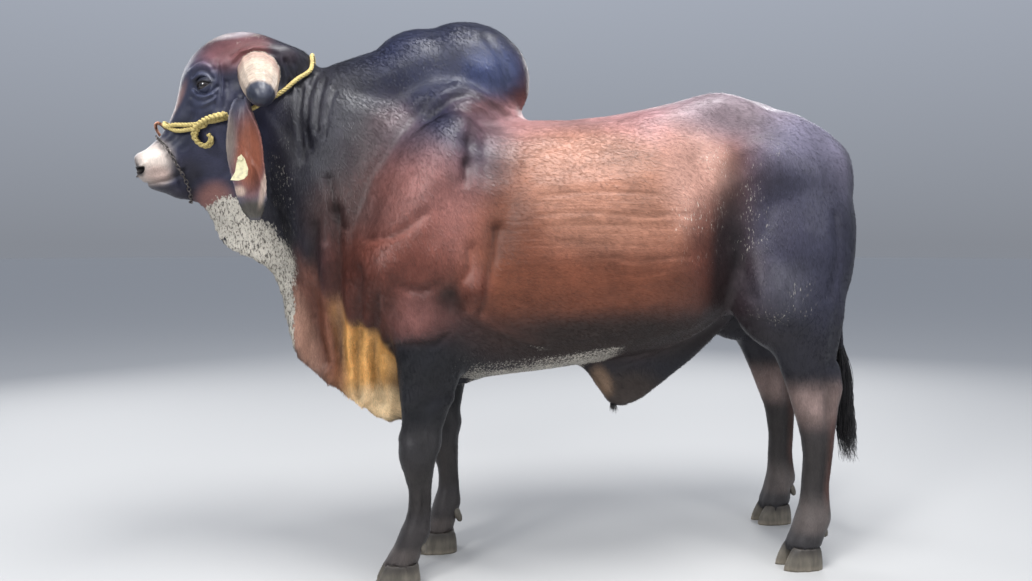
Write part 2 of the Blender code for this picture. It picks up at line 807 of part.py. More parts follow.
def nostril_cutter(side, guides):
    centre = head_point(0.484, 0.008, side * 0.051)
    return ball(centre, (0.023, 0.014, 0.018), 62, "nostril_hole", guides, 14)


def cut_mouth(head, guides):
    """Cuts the line of the mouth a few millimetres into both sides and the front of the muzzle."""
    upper = [(x, z + 0.5 * MOUTH_GAP) for x, z in MOUTH]
    lower = [(x, z - 0.5 * MOUTH_GAP) for x, z in MOUTH]
    slot = prism(upper + lower[::-1], -0.2, 0.2, "mouth_slot", guides)
    boolean(slot, grown(head, -MOUTH_DEPTH, guides), "DIFFERENCE")
    boolean(head, slot, "DIFFERENCE")


def claw_rings(x, y, toe, heel, half, split):
    """Level rings of one claw from the ground up. The side towards the split is nearly flat."""
    rings = []
    for z, reach, shrink in (
        (0.000, 0.0, 1.00), (0.016, 0.004, 1.00), (0.034, 0.010, 0.98),
        (0.052, 0.017, 0.93), (0.066, 0.023, 0.84),
    ):
        ring = []
        for k in range(12):
            angle = 2 * math.pi * k / 12
            c, s = math.cos(angle), math.sin(angle)
            fore = (toe - reach) if c < 0 else heel
            along = math.copysign(abs(c) ** 0.8, c) * fore * shrink
            inward = s * split > 0
            wide = half * shrink * (0.72 if inward else 1.0)
            point = 1.0 - 0.35 * max(0.0, -c) ** 3
            ring.append(Vector((x + along, y + s * wide * point, z)))
        rings.append(ring)
    return rings


def foot(leg, x, y, step, name, parts, guides):
    """Two claws and two dewclaws under a leg."""
    made = []
    for label, split in (("outer", -1), ("inner", 1)):
        aside = -split * math.copysign(1.0, y)
        claw = loft(
            claw_rings(x + step, y + aside * 0.0262, 0.070, 0.056, 0.0265, -aside),
            f"{name}_claw_{label}", parts,
        )
        made.append(claw)
        made.append(
            dewclaw(x + step, y + aside * 0.024, f"{name}_dewclaw_{label}", parts)
        )
    for piece in made:
        make_room(leg, piece, guides)
    return made


def dewclaw(x, y, name, parts):
    path = [
        Vector((x + 0.040, y, 0.140)), Vector((x + 0.054, y, 0.124)),
        Vector((x + 0.063, y, 0.106)), Vector((x + 0.067, y, 0.094)),
    ]
    return tube(path, [0.0125, 0.0135, 0.0110, 0.0060], name, parts, count=8)


TAIL = (
    # x, z, half width, half depth
    (0.915, 1.322, 0.040, 0.026),
    (0.958, 1.294, 0.036, 0.026),
    (0.990, 1.245, 0.031, 0.024),
    (1.003, 1.180, 0.027, 0.021),
    (1.008, 1.080, 0.023, 0.019),
    (1.008, 0.960, 0.019, 0.016),
    (1.014, 0.840, 0.016, 0.014),
    (1.026, 0.720, 0.014, 0.013),
    (1.040, 0.620, 0.013, 0.012),
)
SWITCH_TOP = 0.618
LOCKS = 9


def tail(parts):
    rows = between(TAIL, 2)
    path = rows[:, :2]
    heading = np.gradient(path, axis=0)
    rings = []
    for (x, z, wide, deep), (dx, dz) in zip(rows, heading):
        ahead = Vector((dx, 0, dz)).normalized()
        back = Vector((-ahead.z, 0, ahead.x))
        rings.append(oval(Vector((x, 0, z)), ACROSS, back, wide, deep, deep, 2.0, 0.0, 12))
    return loft(rings, "tail", parts)


def switch_lock(start, sway, length, half, lean, name, collection):
    """One flat tapered lock that bends once and back along its lie."""
    rings = []
    steps = 5
    for i in range(steps + 1):
        t = i / steps
        x = start.x + sway[0] * math.sin(1.2 * math.pi * t) + 0.03 * t
        y = start.y + sway[1] * math.sin(0.9 * math.pi * t)
        centre = Vector((x, y, start.z - length * t))
        wide = half * (1.0 - 0.86 * t ** 1.6)
        thin = 0.0065 * (1.0 - 0.75 * t)
        side = Vector((math.cos(lean), math.sin(lean), 0))
        out = Vector((-math.sin(lean), math.cos(lean), 0))
        rings.append([centre - side * wide, centre - out * thin, centre + side * wide, centre + out * thin])
    return loft(rings, name, collection)


def tail_switch(parts, guides):
    core = (
        (1.040, SWITCH_TOP - GAP, 0.0125, 0.0125, 0.0125),
        (1.050, 0.560, 0.020, 0.020, 0.020),
        (1.068, 0.500, 0.027, 0.027, 0.027),
        (1.078, 0.440, 0.024, 0.024, 0.024),
        (1.076, 0.390, 0.010, 0.010, 0.010),
    )
    switch = tube(
        [Vector((x, 0, z)) for x, z, *_ in core], [row[2] for row in core],
        "tail_switch", parts, count=8,
    )
    for i in range(LOCKS):
        turn = 2 * math.pi * i / LOCKS
        drop = 0.030 * (i % 3)
        start = Vector((1.054 + 0.010 * math.cos(turn), 0.012 * math.sin(turn), 0.560 - drop))
        sway = (0.030 * math.cos(turn), 0.022 * math.sin(turn))
        length = 0.225 + 0.030 * (i * 7 % 4)
        lock = switch_lock(start, sway, length, 0.016, turn + 1.2, "lock", guides)
        boolean(switch, lock, "UNION")
    return largest_body(switch)


# The halter and what hangs on it

ROPE = 0.0062
NOSE_ROPE = Vector((-1.005, 0, 1.282))
CROWN_ROPE = Vector((-0.632, 0, 1.430))
RING_PLACE = Vector((-1.020, 0, 1.262))
CHEEK = (
    (-0.985, 1.292), (-0.940, 1.290), (-0.896, 1.294), (-0.860, 1.300), (-0.830, 1.312),
    (-0.800, 1.328), (-0.755, 1.350), (-0.705, 1.378), (-0.668, 1.418),
)
LOWER_STRAND = ((-0.985, 1.278), (-0.950, 1.277), (-0.918, 1.282), (-0.896, 1.288))


def rope_route(tree, places, side, out):
    return [side_point(tree, x, z, side, out) for x, z in places]


def over_top(tree, centre, above, width, out, steps=5):
    """Places across the top of the head or neck, seen from above, from the left to the right side."""
    places = []
    for i in range(steps):
        y = width * (2 * i / (steps - 1) - 1) if steps > 1 else 0.0
        place, normal, _, _ = tree.ray_cast(centre + above * 0.30 + ACROSS * y, -above)
        places.append(place + normal * out)
    return places


def halter_rope(tree, parts, guides):
    """A closed loop over the nose, back along both cheeks and over the neck behind the horns."""
    out = ROPE + 0.0008
    left = rope_route(tree, CHEEK, LEFT, out)
    right = rope_route(tree, CHEEK, RIGHT, out)
    front = over_top(tree, NOSE_ROPE, HEAD_FRONT, 0.045, out)
    crown = over_top(tree, CROWN_ROPE, UP, 0.060, out)
    loop = front[::-1] + left + crown + right[::-1]
    rope = tube(loop, ROPE, "halter_rope", parts, closed=True, count=6)
    for side in SIDES.values():
        strand = rope_route(tree, LOWER_STRAND, side, out)
        ends = [front[0 if side == LEFT else -1]] + strand
        boolean(rope, tube(ends, ROPE * 0.92, "strand", guides, count=6), "UNION")
    boolean(rope, knot(tree, guides), "UNION")
    return largest_body(rope)


def knot(tree, guides):
    """The braided end that hangs in an open loop on the left cheek."""
    places = (
        (-0.868, 1.298), (-0.892, 1.291), (-0.916, 1.277), (-0.928, 1.259), (-0.922, 1.243),
        (-0.902, 1.238), (-0.888, 1.246), (-0.890, 1.262),
    )
    path = [
        side_point(tree, x, z, LEFT, 0.013 - 0.0006 * i) for i, (x, z) in enumerate(places)
    ]
    return tube(smooth_path(path, 2), 0.0105, "knot", guides, count=7)


def ring_of(centre, normal, radius, thick, name, parts, count=20):
    """A closed round ring of wire."""
    across = normal.orthogonal().normalized()
    along = normal.cross(across)
    path = []
    for k in range(count):
        angle = 2 * math.pi * k / count
        path.append(centre + across * (radius * math.cos(angle)) + along * (radius * math.sin(angle)))
    return tube(path, thick, name, parts, closed=True, count=6)


def nose_ring(tree, parts):
    """The ring that joins the halter over the nose."""
    place = over_top(tree, RING_PLACE, HEAD_FRONT, 0.0, 0.0, 1)[0]
    centre = place + HEAD_FRONT * 0.004
    return ring_of(centre, HEAD_DOWN, 0.026, 0.0035, "nose_ring", parts)


CHAIN = (
    (-1.022, 1.247), (-1.008, 1.225), (-0.994, 1.200), (-0.982, 1.176), (-0.972, 1.150),
    (-0.966, 1.128),
)


def chin_chain(tree, parts):
    """The chain from the ring down both sides of the muzzle and under the jaw, as one solid run."""
    out = 0.0045
    left = rope_route(tree, CHAIN, LEFT, out)
    right = rope_route(tree, CHAIN, RIGHT, out)
    under = Vector((-0.962, 0, 1.102))
    path = left + [under] + right[::-1]
    return tube(smooth_path(path, 2), 0.0038, "chin_chain", parts, count=6)


def ear_tag(parts, guides):
    """A blank tag that hangs from a stud in the left ear."""
    bm = bmesh.new()
    outline = (
        (0.002, 0.012), (0.011, 0.000), (0.019, -0.026), (0.017, -0.043), (0.008, -0.053),
        (-0.006, -0.057), (-0.026, -0.056), (-0.014, -0.034), (-0.009, -0.006),
    )
    place = Vector((-0.800, -0.203, 1.190))
    face = bm.faces.new([bm.verts.new(place + Vector((x, 0, z))) for x, z in outline])
    block = bmesh.ops.extrude_face_region(bm, geom=[face])
    moved = [item for item in block["geom"] if isinstance(item, bmesh.types.BMVert)]
    bmesh.ops.translate(bm, verts=moved, vec=(0, 0.0024, 0))
    tag = object_from(bm, "ear_tag", parts)
    stud = tube(
        [place + Vector((0, -0.004, -0.002)), place + Vector((0, 0.009, -0.002))], 0.0075,
        "stud", guides, count=12,
    )
    boolean(tag, stud, "UNION")
    return tag


# Parting the body into nodes

HEAD_BLOCK = (
    (-1.30, 1.75), (-0.612, 1.75), (-0.640, 1.440), (-0.770, 1.160), (-0.935, 1.100),
    (-0.965, 0.95), (-1.30, 0.95),
)
HUMP_BLOCK = (
    (-0.430, 1.75), (-0.430, 1.480), (-0.350, 1.400), (-0.160, 1.365), (-0.010, 1.352),
    (0.060, 1.362), (0.060, 1.75),
)
NECK_BLOCK = ((-1.10, 1.70), (-0.430, 1.70), (-0.430, 1.20), (-0.490, 0.30), (-1.10, 0.30))
DEWLAP_BLOCK = (
    (-1.10, 1.135), (-0.900, 1.120), (-0.720, 1.010), (-0.620, 0.840), (-0.540, 0.720),
    (-0.200, 0.610), (-0.200, 0.30), (-1.10, 0.30),
)
SHEATH_BLOCK = ((0.135, 0.565), (0.560, 0.645), (0.560, 0.30), (0.135, 0.30))
SCROTUM_BLOCK = ((0.680, 0.745), (0.845, 0.745), (0.845, 0.50), (0.680, 0.50))
FORE_BLOCK = ((-0.56, 0.655), (-0.10, 0.655), (-0.10, -0.10), (-0.56, -0.10))
HIND_BLOCK = ((0.55, 0.700), (1.20, 0.700), (1.20, -0.10), (0.55, -0.10))


def band(outline, low_y, high_y, guides):
    return prism(outline, low_y, high_y, "block", guides)


def part_legs(body, parts, guides):
    legs = {}
    for name, side in SIDES.items():
        for end, outline, inner in (("front", FORE_BLOCK, 0.062), ("hind", HIND_BLOCK, 0.080)):
            low, high = sorted((side * inner, side * 0.60))
            block = band(outline, low, high, guides)
            legs[end, name] = part_off(body, block, f"leg_{end}_{name}", parts, guides)
    return legs


def part_body(body, parts, guides):
    """Cuts the one body into its nodes, from the outside in."""
    nodes = part_legs(body, parts, guides)
    for name, outline, half in (
        ("head", HEAD_BLOCK, 0.5), ("hump", HUMP_BLOCK, 0.5), ("dewlap", DEWLAP_BLOCK, 0.085),
        ("neck", NECK_BLOCK, 0.5), ("sheath", SHEATH_BLOCK, 0.2), ("scrotum", SCROTUM_BLOCK, 0.078),
    ):
        nodes[name] = part_off(body, band(outline, -half, half, guides), name, parts, guides)
    largest_body(body)
    return nodes


def mark_head(obj):
    """Groups the skin of the head, which keeps smaller faces than the rest."""
    group = obj.vertex_groups.new(name="head_skin")
    for vertex in obj.data.vertices:
        x, _, z = vertex.co
        if x < -0.63 - 0.6 * (1.45 - z) and z > 1.08:
            group.add([vertex.index], 1.0, "REPLACE")


def main():
    clear_scene()
    parts = new_collection("gyr_bull")
    guides = new_collection("shaping_pieces")
    guides.hide_render = True
    hide = new_material("hide", (0.16, 0.07, 0.04), 0.5)
    horn_stuff = new_material("horn", (0.45, 0.36, 0.28), 0.5)
    hoof_stuff = new_material("hoof", (0.12, 0.10, 0.08), 0.5)
    eye_stuff = new_material("eye", (0.015, 0.010, 0.008), 0.1)
    hair = new_material("hair", (0.02, 0.018, 0.018), 0.6)
    rope_stuff = new_material("rope", (0.60, 0.47, 0.08), 0.8)
    ring_stuff = new_material("ring_metal", (0.35, 0.17, 0.10), 0.4, 0.8)
    chain_stuff = new_material("chain_metal", (0.18, 0.14, 0.11), 0.5, 0.8)
    tag_stuff = new_material("tag_plastic", (0.75, 0.72, 0.45), 0.4)

    lumps = (
        torso_masses(guides)
        + shoulder_masses(guides)
        + neck_masses(guides)
        + hump_masses(guides)
        + leg_masses(guides)
        + fold_masses(guides)
        + head_masses(guides)
    )
    body = fuse(lumps, VOXEL, SMOOTHING, "torso", parts)
    shape_relief(body, SWELLINGS, GROOVES)
    shape_relief(body, HEAD_SWELLINGS, HEAD_GROOVES)
    thin_out(body, EVEN_TRIANGLES)
    mark_head(body)
    thin_out(body, SKIN_TRIANGLES, "head_skin")
    tree = skin_tree(body)
    nodes = part_body(body, parts, guides)
    nodes["torso"] = body
    for piece in nodes.values():
        paint(piece, hide)

    head = nodes["head"]
    cut_mouth(head, guides)
    for name, side in SIDES.items():
        boolean(head, nostril_cutter(side, guides), "DIFFERENCE")
        paint(set_eye(head, tree, side, f"eye_{name}", parts, guides), eye_stuff)
        made_horn = paint(horn(side, f"horn_{name}", parts), horn_stuff)
        made_ear = paint(ear(side, f"ear_{name}", parts), hide)
        make_room(made_ear, made_horn, guides)
        for other in ("head", "neck"):
            make_room(nodes[other], made_horn, guides)
            make_room(nodes[other], made_ear, guides)
        for piece in foot(
            nodes["front", name], FORE_FOOT_X, side * FORE_FOOT_Y, fore_step(side),
            f"front_{name}", parts, guides,
        ) + foot(
            nodes["hind", name], HIND_FOOT_X, side * HIND_FOOT_Y, hind_step(side),
            f"hind_{name}", parts, guides,
        ):
            paint(piece, hoof_stuff)

    made_tail = paint(tail(parts), hide)
    make_room(body, made_tail, guides)
    paint(tail_switch(parts, guides), hair)

    rope = paint(halter_rope(tree, parts, guides), rope_stuff)
    ring = paint(nose_ring(tree, parts), ring_stuff)
    chain = paint(chin_chain(tree, parts), chain_stuff)
    tag = paint(ear_tag(parts, guides), tag_stuff)
    make_room(rope, ring, guides, TRIM_PUSH)
    make_room(rope, chain, guides, TRIM_PUSH)
    make_room(chain, ring, guides, TRIM_PUSH)
    for piece in (rope, ring, chain):
        for other in ("head", "neck"):
            make_room(nodes[other], piece, guides, TRIM_PUSH)
    for name in SIDES:
        make_room(bpy.data.objects[f"ear_{name}"], rope, guides, TRIM_PUSH)
    make_room(bpy.data.objects["ear_left"], tag, guides, TRIM_PUSH)

    for guide in list(guides.objects):
        bpy.data.objects.remove(guide)


main()
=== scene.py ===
# %% [markdown]
# # A Gyr bull, life size
# This notebook dresses a fixed set of solids as a still, museum-type model of a Gyr (Gir) bull.
# The solids already hold every proportion, so each piece here is built round the place of its solid:
# one skin over all the flesh, then lids, eyes, ears, horns and hooves, a rope halter, and last the coat.

# %% Load the solids
import math

import bmesh
import bpy
import numpy as np
from mathutils import Matrix, Vector
from mathutils.bvhtree import BVHTree


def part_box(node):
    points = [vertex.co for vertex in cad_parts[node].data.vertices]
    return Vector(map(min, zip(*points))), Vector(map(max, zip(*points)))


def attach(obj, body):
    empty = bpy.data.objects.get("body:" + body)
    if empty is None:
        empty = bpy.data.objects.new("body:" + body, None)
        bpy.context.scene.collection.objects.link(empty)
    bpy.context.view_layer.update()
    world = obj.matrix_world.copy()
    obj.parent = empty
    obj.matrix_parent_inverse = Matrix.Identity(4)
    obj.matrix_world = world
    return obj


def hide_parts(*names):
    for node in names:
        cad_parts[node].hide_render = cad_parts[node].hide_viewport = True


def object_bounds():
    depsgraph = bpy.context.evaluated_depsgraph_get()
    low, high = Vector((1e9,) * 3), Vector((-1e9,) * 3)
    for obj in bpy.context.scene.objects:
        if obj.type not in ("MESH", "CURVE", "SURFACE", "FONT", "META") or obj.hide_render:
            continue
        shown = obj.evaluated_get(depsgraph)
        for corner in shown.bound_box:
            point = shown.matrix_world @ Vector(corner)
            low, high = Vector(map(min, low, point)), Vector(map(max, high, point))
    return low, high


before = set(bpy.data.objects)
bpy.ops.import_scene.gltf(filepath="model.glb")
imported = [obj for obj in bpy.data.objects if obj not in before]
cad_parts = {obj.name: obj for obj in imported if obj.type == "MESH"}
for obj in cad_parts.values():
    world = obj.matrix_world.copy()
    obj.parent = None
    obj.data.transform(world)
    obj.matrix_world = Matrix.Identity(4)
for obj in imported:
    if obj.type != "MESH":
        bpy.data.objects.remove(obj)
CAD_BOX = [list(corner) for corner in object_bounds()]
UP = Vector((0, 0, 1))
SIDES = {"left": -1, "right": 1}
print("solids:", len(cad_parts), "box:", CAD_BOX)

# %% [markdown]
# ## Camera and studio
# The bull is seen from its left side, from a little below the height of its back and turned ten degrees
# towards its tail. A photographer's view can be rebuilt from a place, two angles and a focal length.
# The focal length is given in pixels of the frame and turned into millimetres on a 36 mm sensor.

# %% Camera
CAMERA_PLACE = Vector((-0.478, -2.51, 0.97))
CAMERA_YAW, CAMERA_PITCH = math.radians(10.0), math.radians(3.2)
FRAME_WIDTH, FOCAL_PIXELS, SENSOR = 1032.0, 845.0, 36.0


def add_camera():
    camera = bpy.data.objects.new("Camera", bpy.data.cameras.new("Camera"))
    forward = Vector((math.sin(CAMERA_YAW), math.cos(CAMERA_YAW), -math.tan(CAMERA_PITCH)))
    camera.location = CAMERA_PLACE
    camera.rotation_euler = forward.to_track_quat("-Z", "Y").to_euler()
    camera.data.sensor_width = SENSOR
    camera.data.lens = SENSOR * FOCAL_PIXELS / FRAME_WIDTH
    bpy.context.scene.collection.objects.link(camera)
    bpy.context.scene.camera = camera
    return camera


print("lens:", round(add_camera().data.lens, 2), "mm")

# %% [markdown]
# The studio is a pale floor under a big soft light from above, as an overcast sky gives. A key light is on
# the head's side, a weaker one on the tail's side and two behind, so that the coat shows its sheen all round.
# The surroundings are pale too, a little brighter overhead, and meet the floor with no dark line.

# %% Floor and lights
FLOOR_RADIUS = 60.0
# name, place, target, size, power
LIGHTS = (
    ("Sky_softbox", (0.1, -1.2, 4.2), (0.0, 0.0, 0.9), 1.7, 200.0),
    ("Key_light", (-3.0, -3.2, 3.4), (-0.3, 0.0, 1.0), 1.1, 120.0),
    ("Flank_light", (2.8, -3.4, 2.4), (0.4, 0.0, 0.9), 1.6, 40.0),
    ("Rear_light", (2.4, 3.6, 2.8), (0.2, 0.0, 1.0), 2.2, 90.0),
    ("Far_light", (-2.8, 3.2, 2.4), (-0.5, 0.0, 1.0), 2.2, 70.0),
)
FLOOR_COLOUR, FLOOR_ROUGHNESS = (0.4, 0.397, 0.39, 1), 0.75
SKY_LOW, SKY_HIGH, SKY_TURN = (0.24, 0.256, 0.29, 1), (0.58, 0.64, 0.76, 1), 0.7


def link(obj):
    bpy.context.scene.collection.objects.link(obj)
    return obj


def mesh_from(bm, name):
    """Ends the work on a bmesh and hands it over as a mesh."""
    mesh = bpy.data.meshes.new(name)
    bm.to_mesh(mesh)
    bm.free()
    return mesh


def add_floor():
    bm = bmesh.new()
    bmesh.ops.create_circle(bm, cap_ends=True, segments=96, radius=FLOOR_RADIUS)
    mesh = mesh_from(bm, "Floor")
    floor = link(bpy.data.objects.new("Floor", mesh))
    material = bpy.data.materials.new("Pale_floor")
    material.use_nodes = True
    shader = material.node_tree.nodes["Principled BSDF"]
    shader.inputs["Base Color"].default_value = FLOOR_COLOUR
    shader.inputs["Roughness"].default_value = FLOOR_ROUGHNESS
    mesh.materials.append(material)


def add_light(name, place, target, size, power):
    light = bpy.data.objects.new(name, bpy.data.lights.new(name, "AREA"))
    light.data.shape = "DISK"
    light.data.size = size
    light.data.energy = power
    light.location = place
    light.rotation_euler = (Vector(target) - Vector(place)).to_track_quat("-Z", "Y").to_euler()
    link(light)


def add_world():
    world = bpy.data.worlds.new("Studio")
    world.use_nodes = True
    tree = world.node_tree
    direction = tree.nodes.new("ShaderNodeTexCoord").outputs["Generated"]
    height = tree.nodes.new("ShaderNodeSeparateXYZ")
    tree.links.new(direction, height.inputs[0])
    rise = tree.nodes.new("ShaderNodeMapRange")
    rise.inputs[2].default_value = SKY_TURN
    tree.links.new(height.outputs[2], rise.inputs[0])
    sky = tree.nodes.new("ShaderNodeMix")
    sky.data_type = "RGBA"
    sky.inputs[6].default_value, sky.inputs[7].default_value = SKY_LOW, SKY_HIGH
    tree.links.new(rise.outputs[0], sky.inputs[0])
    tree.links.new(sky.outputs[2], tree.nodes["Background"].inputs["Color"])
    bpy.context.scene.world = world
    bpy.context.scene.view_settings.view_transform = "Standard"


add_floor()
for light in LIGHTS:
    add_light(*light)
add_world()
print("lights:", len(LIGHTS))

# %% [markdown]
# ## One skin
# On the real bull one hide runs from the lips to the tail, while the solids are cut at neck and legs.
# They could be stitched by hand, or joined with Booleans, but both leave a crease at each cut. A voxel remesh
# of all of them together closes the cuts in one go, and gives even quads that take relief and colour well.

# %% Small helpers for meshes and arrays
def new_piece(name, mesh, node_names):
    """An object at the origin that stands for these nodes of the solids."""
    mesh.name = name
    piece = link(bpy.data.objects.new(name, mesh))
    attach(piece, "root")
    if node_names:
        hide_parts(*node_names)
    return piece


def rows_of(items, name, width, kind=float):
    """One property of these items as an array, with a row for each of them."""
    values = np.empty(len(items) * width, kind)
    items.foreach_get(name, values)
    return values.reshape(-1, width)


def points_of(mesh):
    return rows_of(mesh.vertices, "co", 3)


def normals_of(mesh):
    return rows_of(mesh.vertex_normals, "vector", 3)


def move_points(mesh, points):
    mesh.vertices.foreach_set("co", np.ascontiguousarray(points).ravel())
    mesh.update()


def smooth_step(value, low, high):
    """0 below low, 1 above high and an even slope between them; low may be the larger."""
    share = np.clip((value - low) / (high - low), 0, 1)
    return share * share * (3 - 2 * share)


def shade_smooth(mesh):
    mesh.polygons.foreach_set("use_smooth", np.ones(len(mesh.polygons), bool))


# %% [markdown]
# Plain smoothing shrinks thin parts such as the tail. A relaxing round of two steps, one in and one slightly
# larger step out, takes the facets away and leaves the volume, so it is the one used here. Only the loin,
# where the solids meet in a shallow crease, is smoothed plainly as well.

# %% Relaxing a mesh
RELAX_IN, RELAX_OUT = 0.5, -0.53


def relax(mesh, rounds, weight=None, strokes=(RELAX_IN, RELAX_OUT)):
    """Smooths a mesh without shrinking it; weight says how far each vertex may follow."""
    points = points_of(mesh)
    edges = rows_of(mesh.edges, "vertices", 2, np.int64)
    ends, others = edges.T.ravel(), edges[:, ::-1].T.ravel()
    around = np.maximum(np.bincount(ends, minlength=len(points)), 1)[:, None]
    weight = 1.0 if weight is None else weight[:, None]
    for _ in range(rounds):
        for step in strokes:
            sums = [np.bincount(ends, points[others, axis], len(points)) for axis in range(3)]
            points = points + step * weight * (np.stack(sums, axis=1) / around - points)
    move_points(mesh, points)


# %% [markdown]
# The head is laid out along its own slope: down from the poll to the muzzle, and forward from throat to brow.
# The eye, nostril, horn and ear roots are given by the same named places as in the solids.

# %% Places on the head
POLL = Vector((-0.72, 0, 1.47))
HEAD_DOWN = Vector((-0.763, 0, -0.646))
HEAD_FRONT = Vector((-0.646, 0, 0.763))
EYE_RADIUS = 0.0215
EYE_LONG = Vector((-0.975, 0, -0.2))
NOSTRIL_DOWN, NOSTRIL_FRONT, NOSTRIL_SIDE = 0.47, 0.004, 0.056
HORN_ROOT = Vector((-0.76, 0.108, 1.432))
EAR_ROOT = Vector((-0.801, 0.122, 1.358))


def head_point(down, front, across):
    return POLL + HEAD_DOWN * down + HEAD_FRONT * front + Vector((0, across, 0))


def mirrored(place, side):
    return Vector((place.x, side * abs(place.y), place.z))


def middle_of(node):
    low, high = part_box(node)
    return (low + high) / 2


EYE_PLACES = {side: middle_of("eye_" + side) for side in SIDES}
NOSTRILS = {side: head_point(NOSTRIL_DOWN, NOSTRIL_FRONT, sign * NOSTRIL_SIDE)
            for side, sign in SIDES.items()}
print("eyes:", EYE_PLACES)

# %% Remesh the flesh as one shell
FLESH = ["head", "neck", "dewlap", "hump", "torso", "sheath", "scrotum", "tail"]
FLESH += ["leg_front_left", "leg_front_right", "leg_hind_left", "leg_hind_right"]
SKIN_VOXEL = 0.0117
CUT_CLOSING = 0.0007
HORN_PLUG, HORN_PLUG_IN, EAR_PLUG, EAR_PLUG_IN = 0.044, 0.016, 0.026, 0.008
# down, front and side of the middle, half axes, tilt: the muzzle's own bulge, then the hole in it
NOSTRIL_PLUGS = (
    ((0.452, 0.006, 0.044), (0.045, 0.033, 0.033), 40),
    ((0.478, 0.002, 0.043), (0.027, 0.014, 0.022), 62),
    ((0.474, -0.014, 0.03), (0.026, 0.024, 0.022), 40),
    ((0.476, 0.01, 0.033), (0.017, 0.018, 0.017), 0),
)
# first and last of the balls between tail and rump, their number and radius
TAIL_PLUGS, TAIL_PLUG = ((0.968, 1.255), (0.975, 0.985), 15), 0.019


def add_ball(bm, place, radius):
    bmesh.ops.create_uvsphere(bm, u_segments=24, v_segments=16, radius=radius,
                              matrix=Matrix.Translation(place))


def fill_nostril(bm, sign):
    for (down, front, across), half_axes, tilt in NOSTRIL_PLUGS:
        turn = Matrix.Rotation(math.radians(tilt), 4, "Y") @ Matrix.Diagonal((*half_axes, 1))
        place = Matrix.Translation(head_point(down, front, sign * across))
        bmesh.ops.create_uvsphere(bm, u_segments=40, v_segments=26, radius=1, matrix=place @ turn)


def fill_sockets(bm):
    """Balls where the solids leave room for horns, ears, eyes and nostrils, and between tail and rump."""
    for side, sign in SIDES.items():
        add_ball(bm, mirrored(HORN_ROOT, sign) - Vector((0, sign * HORN_PLUG_IN, 0)), HORN_PLUG)
        add_ball(bm, mirrored(EAR_ROOT, sign) - Vector((0, sign * EAR_PLUG_IN, 0)), EAR_PLUG)
        fill_nostril(bm, sign)
        add_ball(bm, EYE_PLACES[side], EYE_RADIUS)
    for x, z in np.linspace(*TAIL_PLUGS):
        add_ball(bm, Vector((x, 0, z)), TAIL_PLUG)


def voxel_shell(name, node_names, voxel, grow=0.0, plugs=None):
    """A clean even mesh round copies of these solids."""
    bm = bmesh.new()
    for node in node_names:
        bm.from_mesh(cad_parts[node].data)
    bmesh.ops.remove_doubles(bm, verts=bm.verts, dist=1e-5)
    bm.normal_update()
    for vertex in bm.verts:
        vertex.co += vertex.normal * grow
    if plugs:
        plugs(bm)
    rough = mesh_from(bm, name)
    holder = link(bpy.data.objects.new(name, rough))
    remesh = holder.modifiers.new("Remesh", "REMESH")
    remesh.mode = "VOXEL"
    remesh.voxel_size = voxel
    shell = bpy.data.meshes.new_from_object(holder.evaluated_get(bpy.context.evaluated_depsgraph_get()))
    bpy.data.objects.remove(holder)
    bpy.data.meshes.remove(rough)
    shade_smooth(shell)
    return shell


skin_mesh = voxel_shell("Hide", FLESH, SKIN_VOXEL, CUT_CLOSING, fill_sockets)
print("shell:", len(skin_mesh.vertices), "vertices")

# %% [markdown]
# The solids have facets of two to three centimetres. The head's are finer, so it is relaxed for fewer rounds
# than the body, and the lips, where the solids have a deep slot, for more. Then the places with small forms
# get more vertices: the head, its eyes and muzzle, the wrinkled neck and the fine creases of the barrel.
# Everywhere else the even spacing is enough.

# %% Relax the shell and refine it where forms are small
HEAD_ROUNDS, BODY_ROUNDS, FINE_ROUNDS, LOIN_ROUNDS, LIP_ROUNDS = 10, 34, 4, 70, 30
# x, z, half length, half height
LIPS = (-1.06, 1.145, 0.11, 0.04)
LOIN = (0.5, 1.37, 0.17, 0.11)
BARREL_CREASES = (0.19, 1.0, 0.25, 0.15)
NECK_WRINKLES = (-0.63, 1.35, 0.085, 0.13)
FINE_EYE, FINEST_EYE, FINE_NOSTRIL, FINE_MUZZLE = 0.062, 0.036, 0.05, (-1.005, 1.19)


def in_head(points):
    """1 on the head, 0 from the neck on."""
    return smooth_step(points[:, 0] + 0.25 * (1.35 - points[:, 2]), -0.66, -0.74)


def ellipse_reach(places, x, z, half_x, half_z, turn=0):
    """0 in the middle of an ellipse of the side view, 1 on its edge and more outside it."""
    c, s = math.cos(math.radians(turn)), math.sin(math.radians(turn))
    away = places - (x, z)
    return np.hypot((away[:, 0] * c + away[:, 1] * s) / half_x, (away[:, 1] * c - away[:, 0] * s) / half_z)


def soft_ellipse(points, *ellipse):
    return smooth_step(ellipse_reach(points[:, [0, 2]], *ellipse), 1.2, 0.5)


def in_ellipse(points, *ellipse):
    return ellipse_reach(points[:, [0, 2]], *ellipse) < 1


def distance_to(points, place):
    return np.linalg.norm(points - np.array(place), axis=1)


def refine(mesh, chosen, rounds):
    """Splits the edges between chosen vertices once, and relaxes the result there."""
    bm = bmesh.new()
    bm.from_mesh(mesh)
    bm.verts.ensure_lookup_table()
    edges = [edge for edge in bm.edges if chosen[edge.verts[0].index] and chosen[edge.verts[1].index]]
    marked = set()
    for edge in edges:
        marked.update(edge.verts)
    made = bmesh.ops.subdivide_edges(bm, edges=edges, cuts=1, use_grid_fill=True, smooth=0.0)
    marked.update(item for item in made["geom_inner"] if isinstance(item, bmesh.types.BMVert))
    bm.verts.index_update()
    inside = np.zeros(len(bm.verts))
    inside[[vertex.index for vertex in marked if vertex.is_valid]] = 1
    bm.to_mesh(mesh)
    bm.free()
    shade_smooth(mesh)
    relax(mesh, rounds, inside)


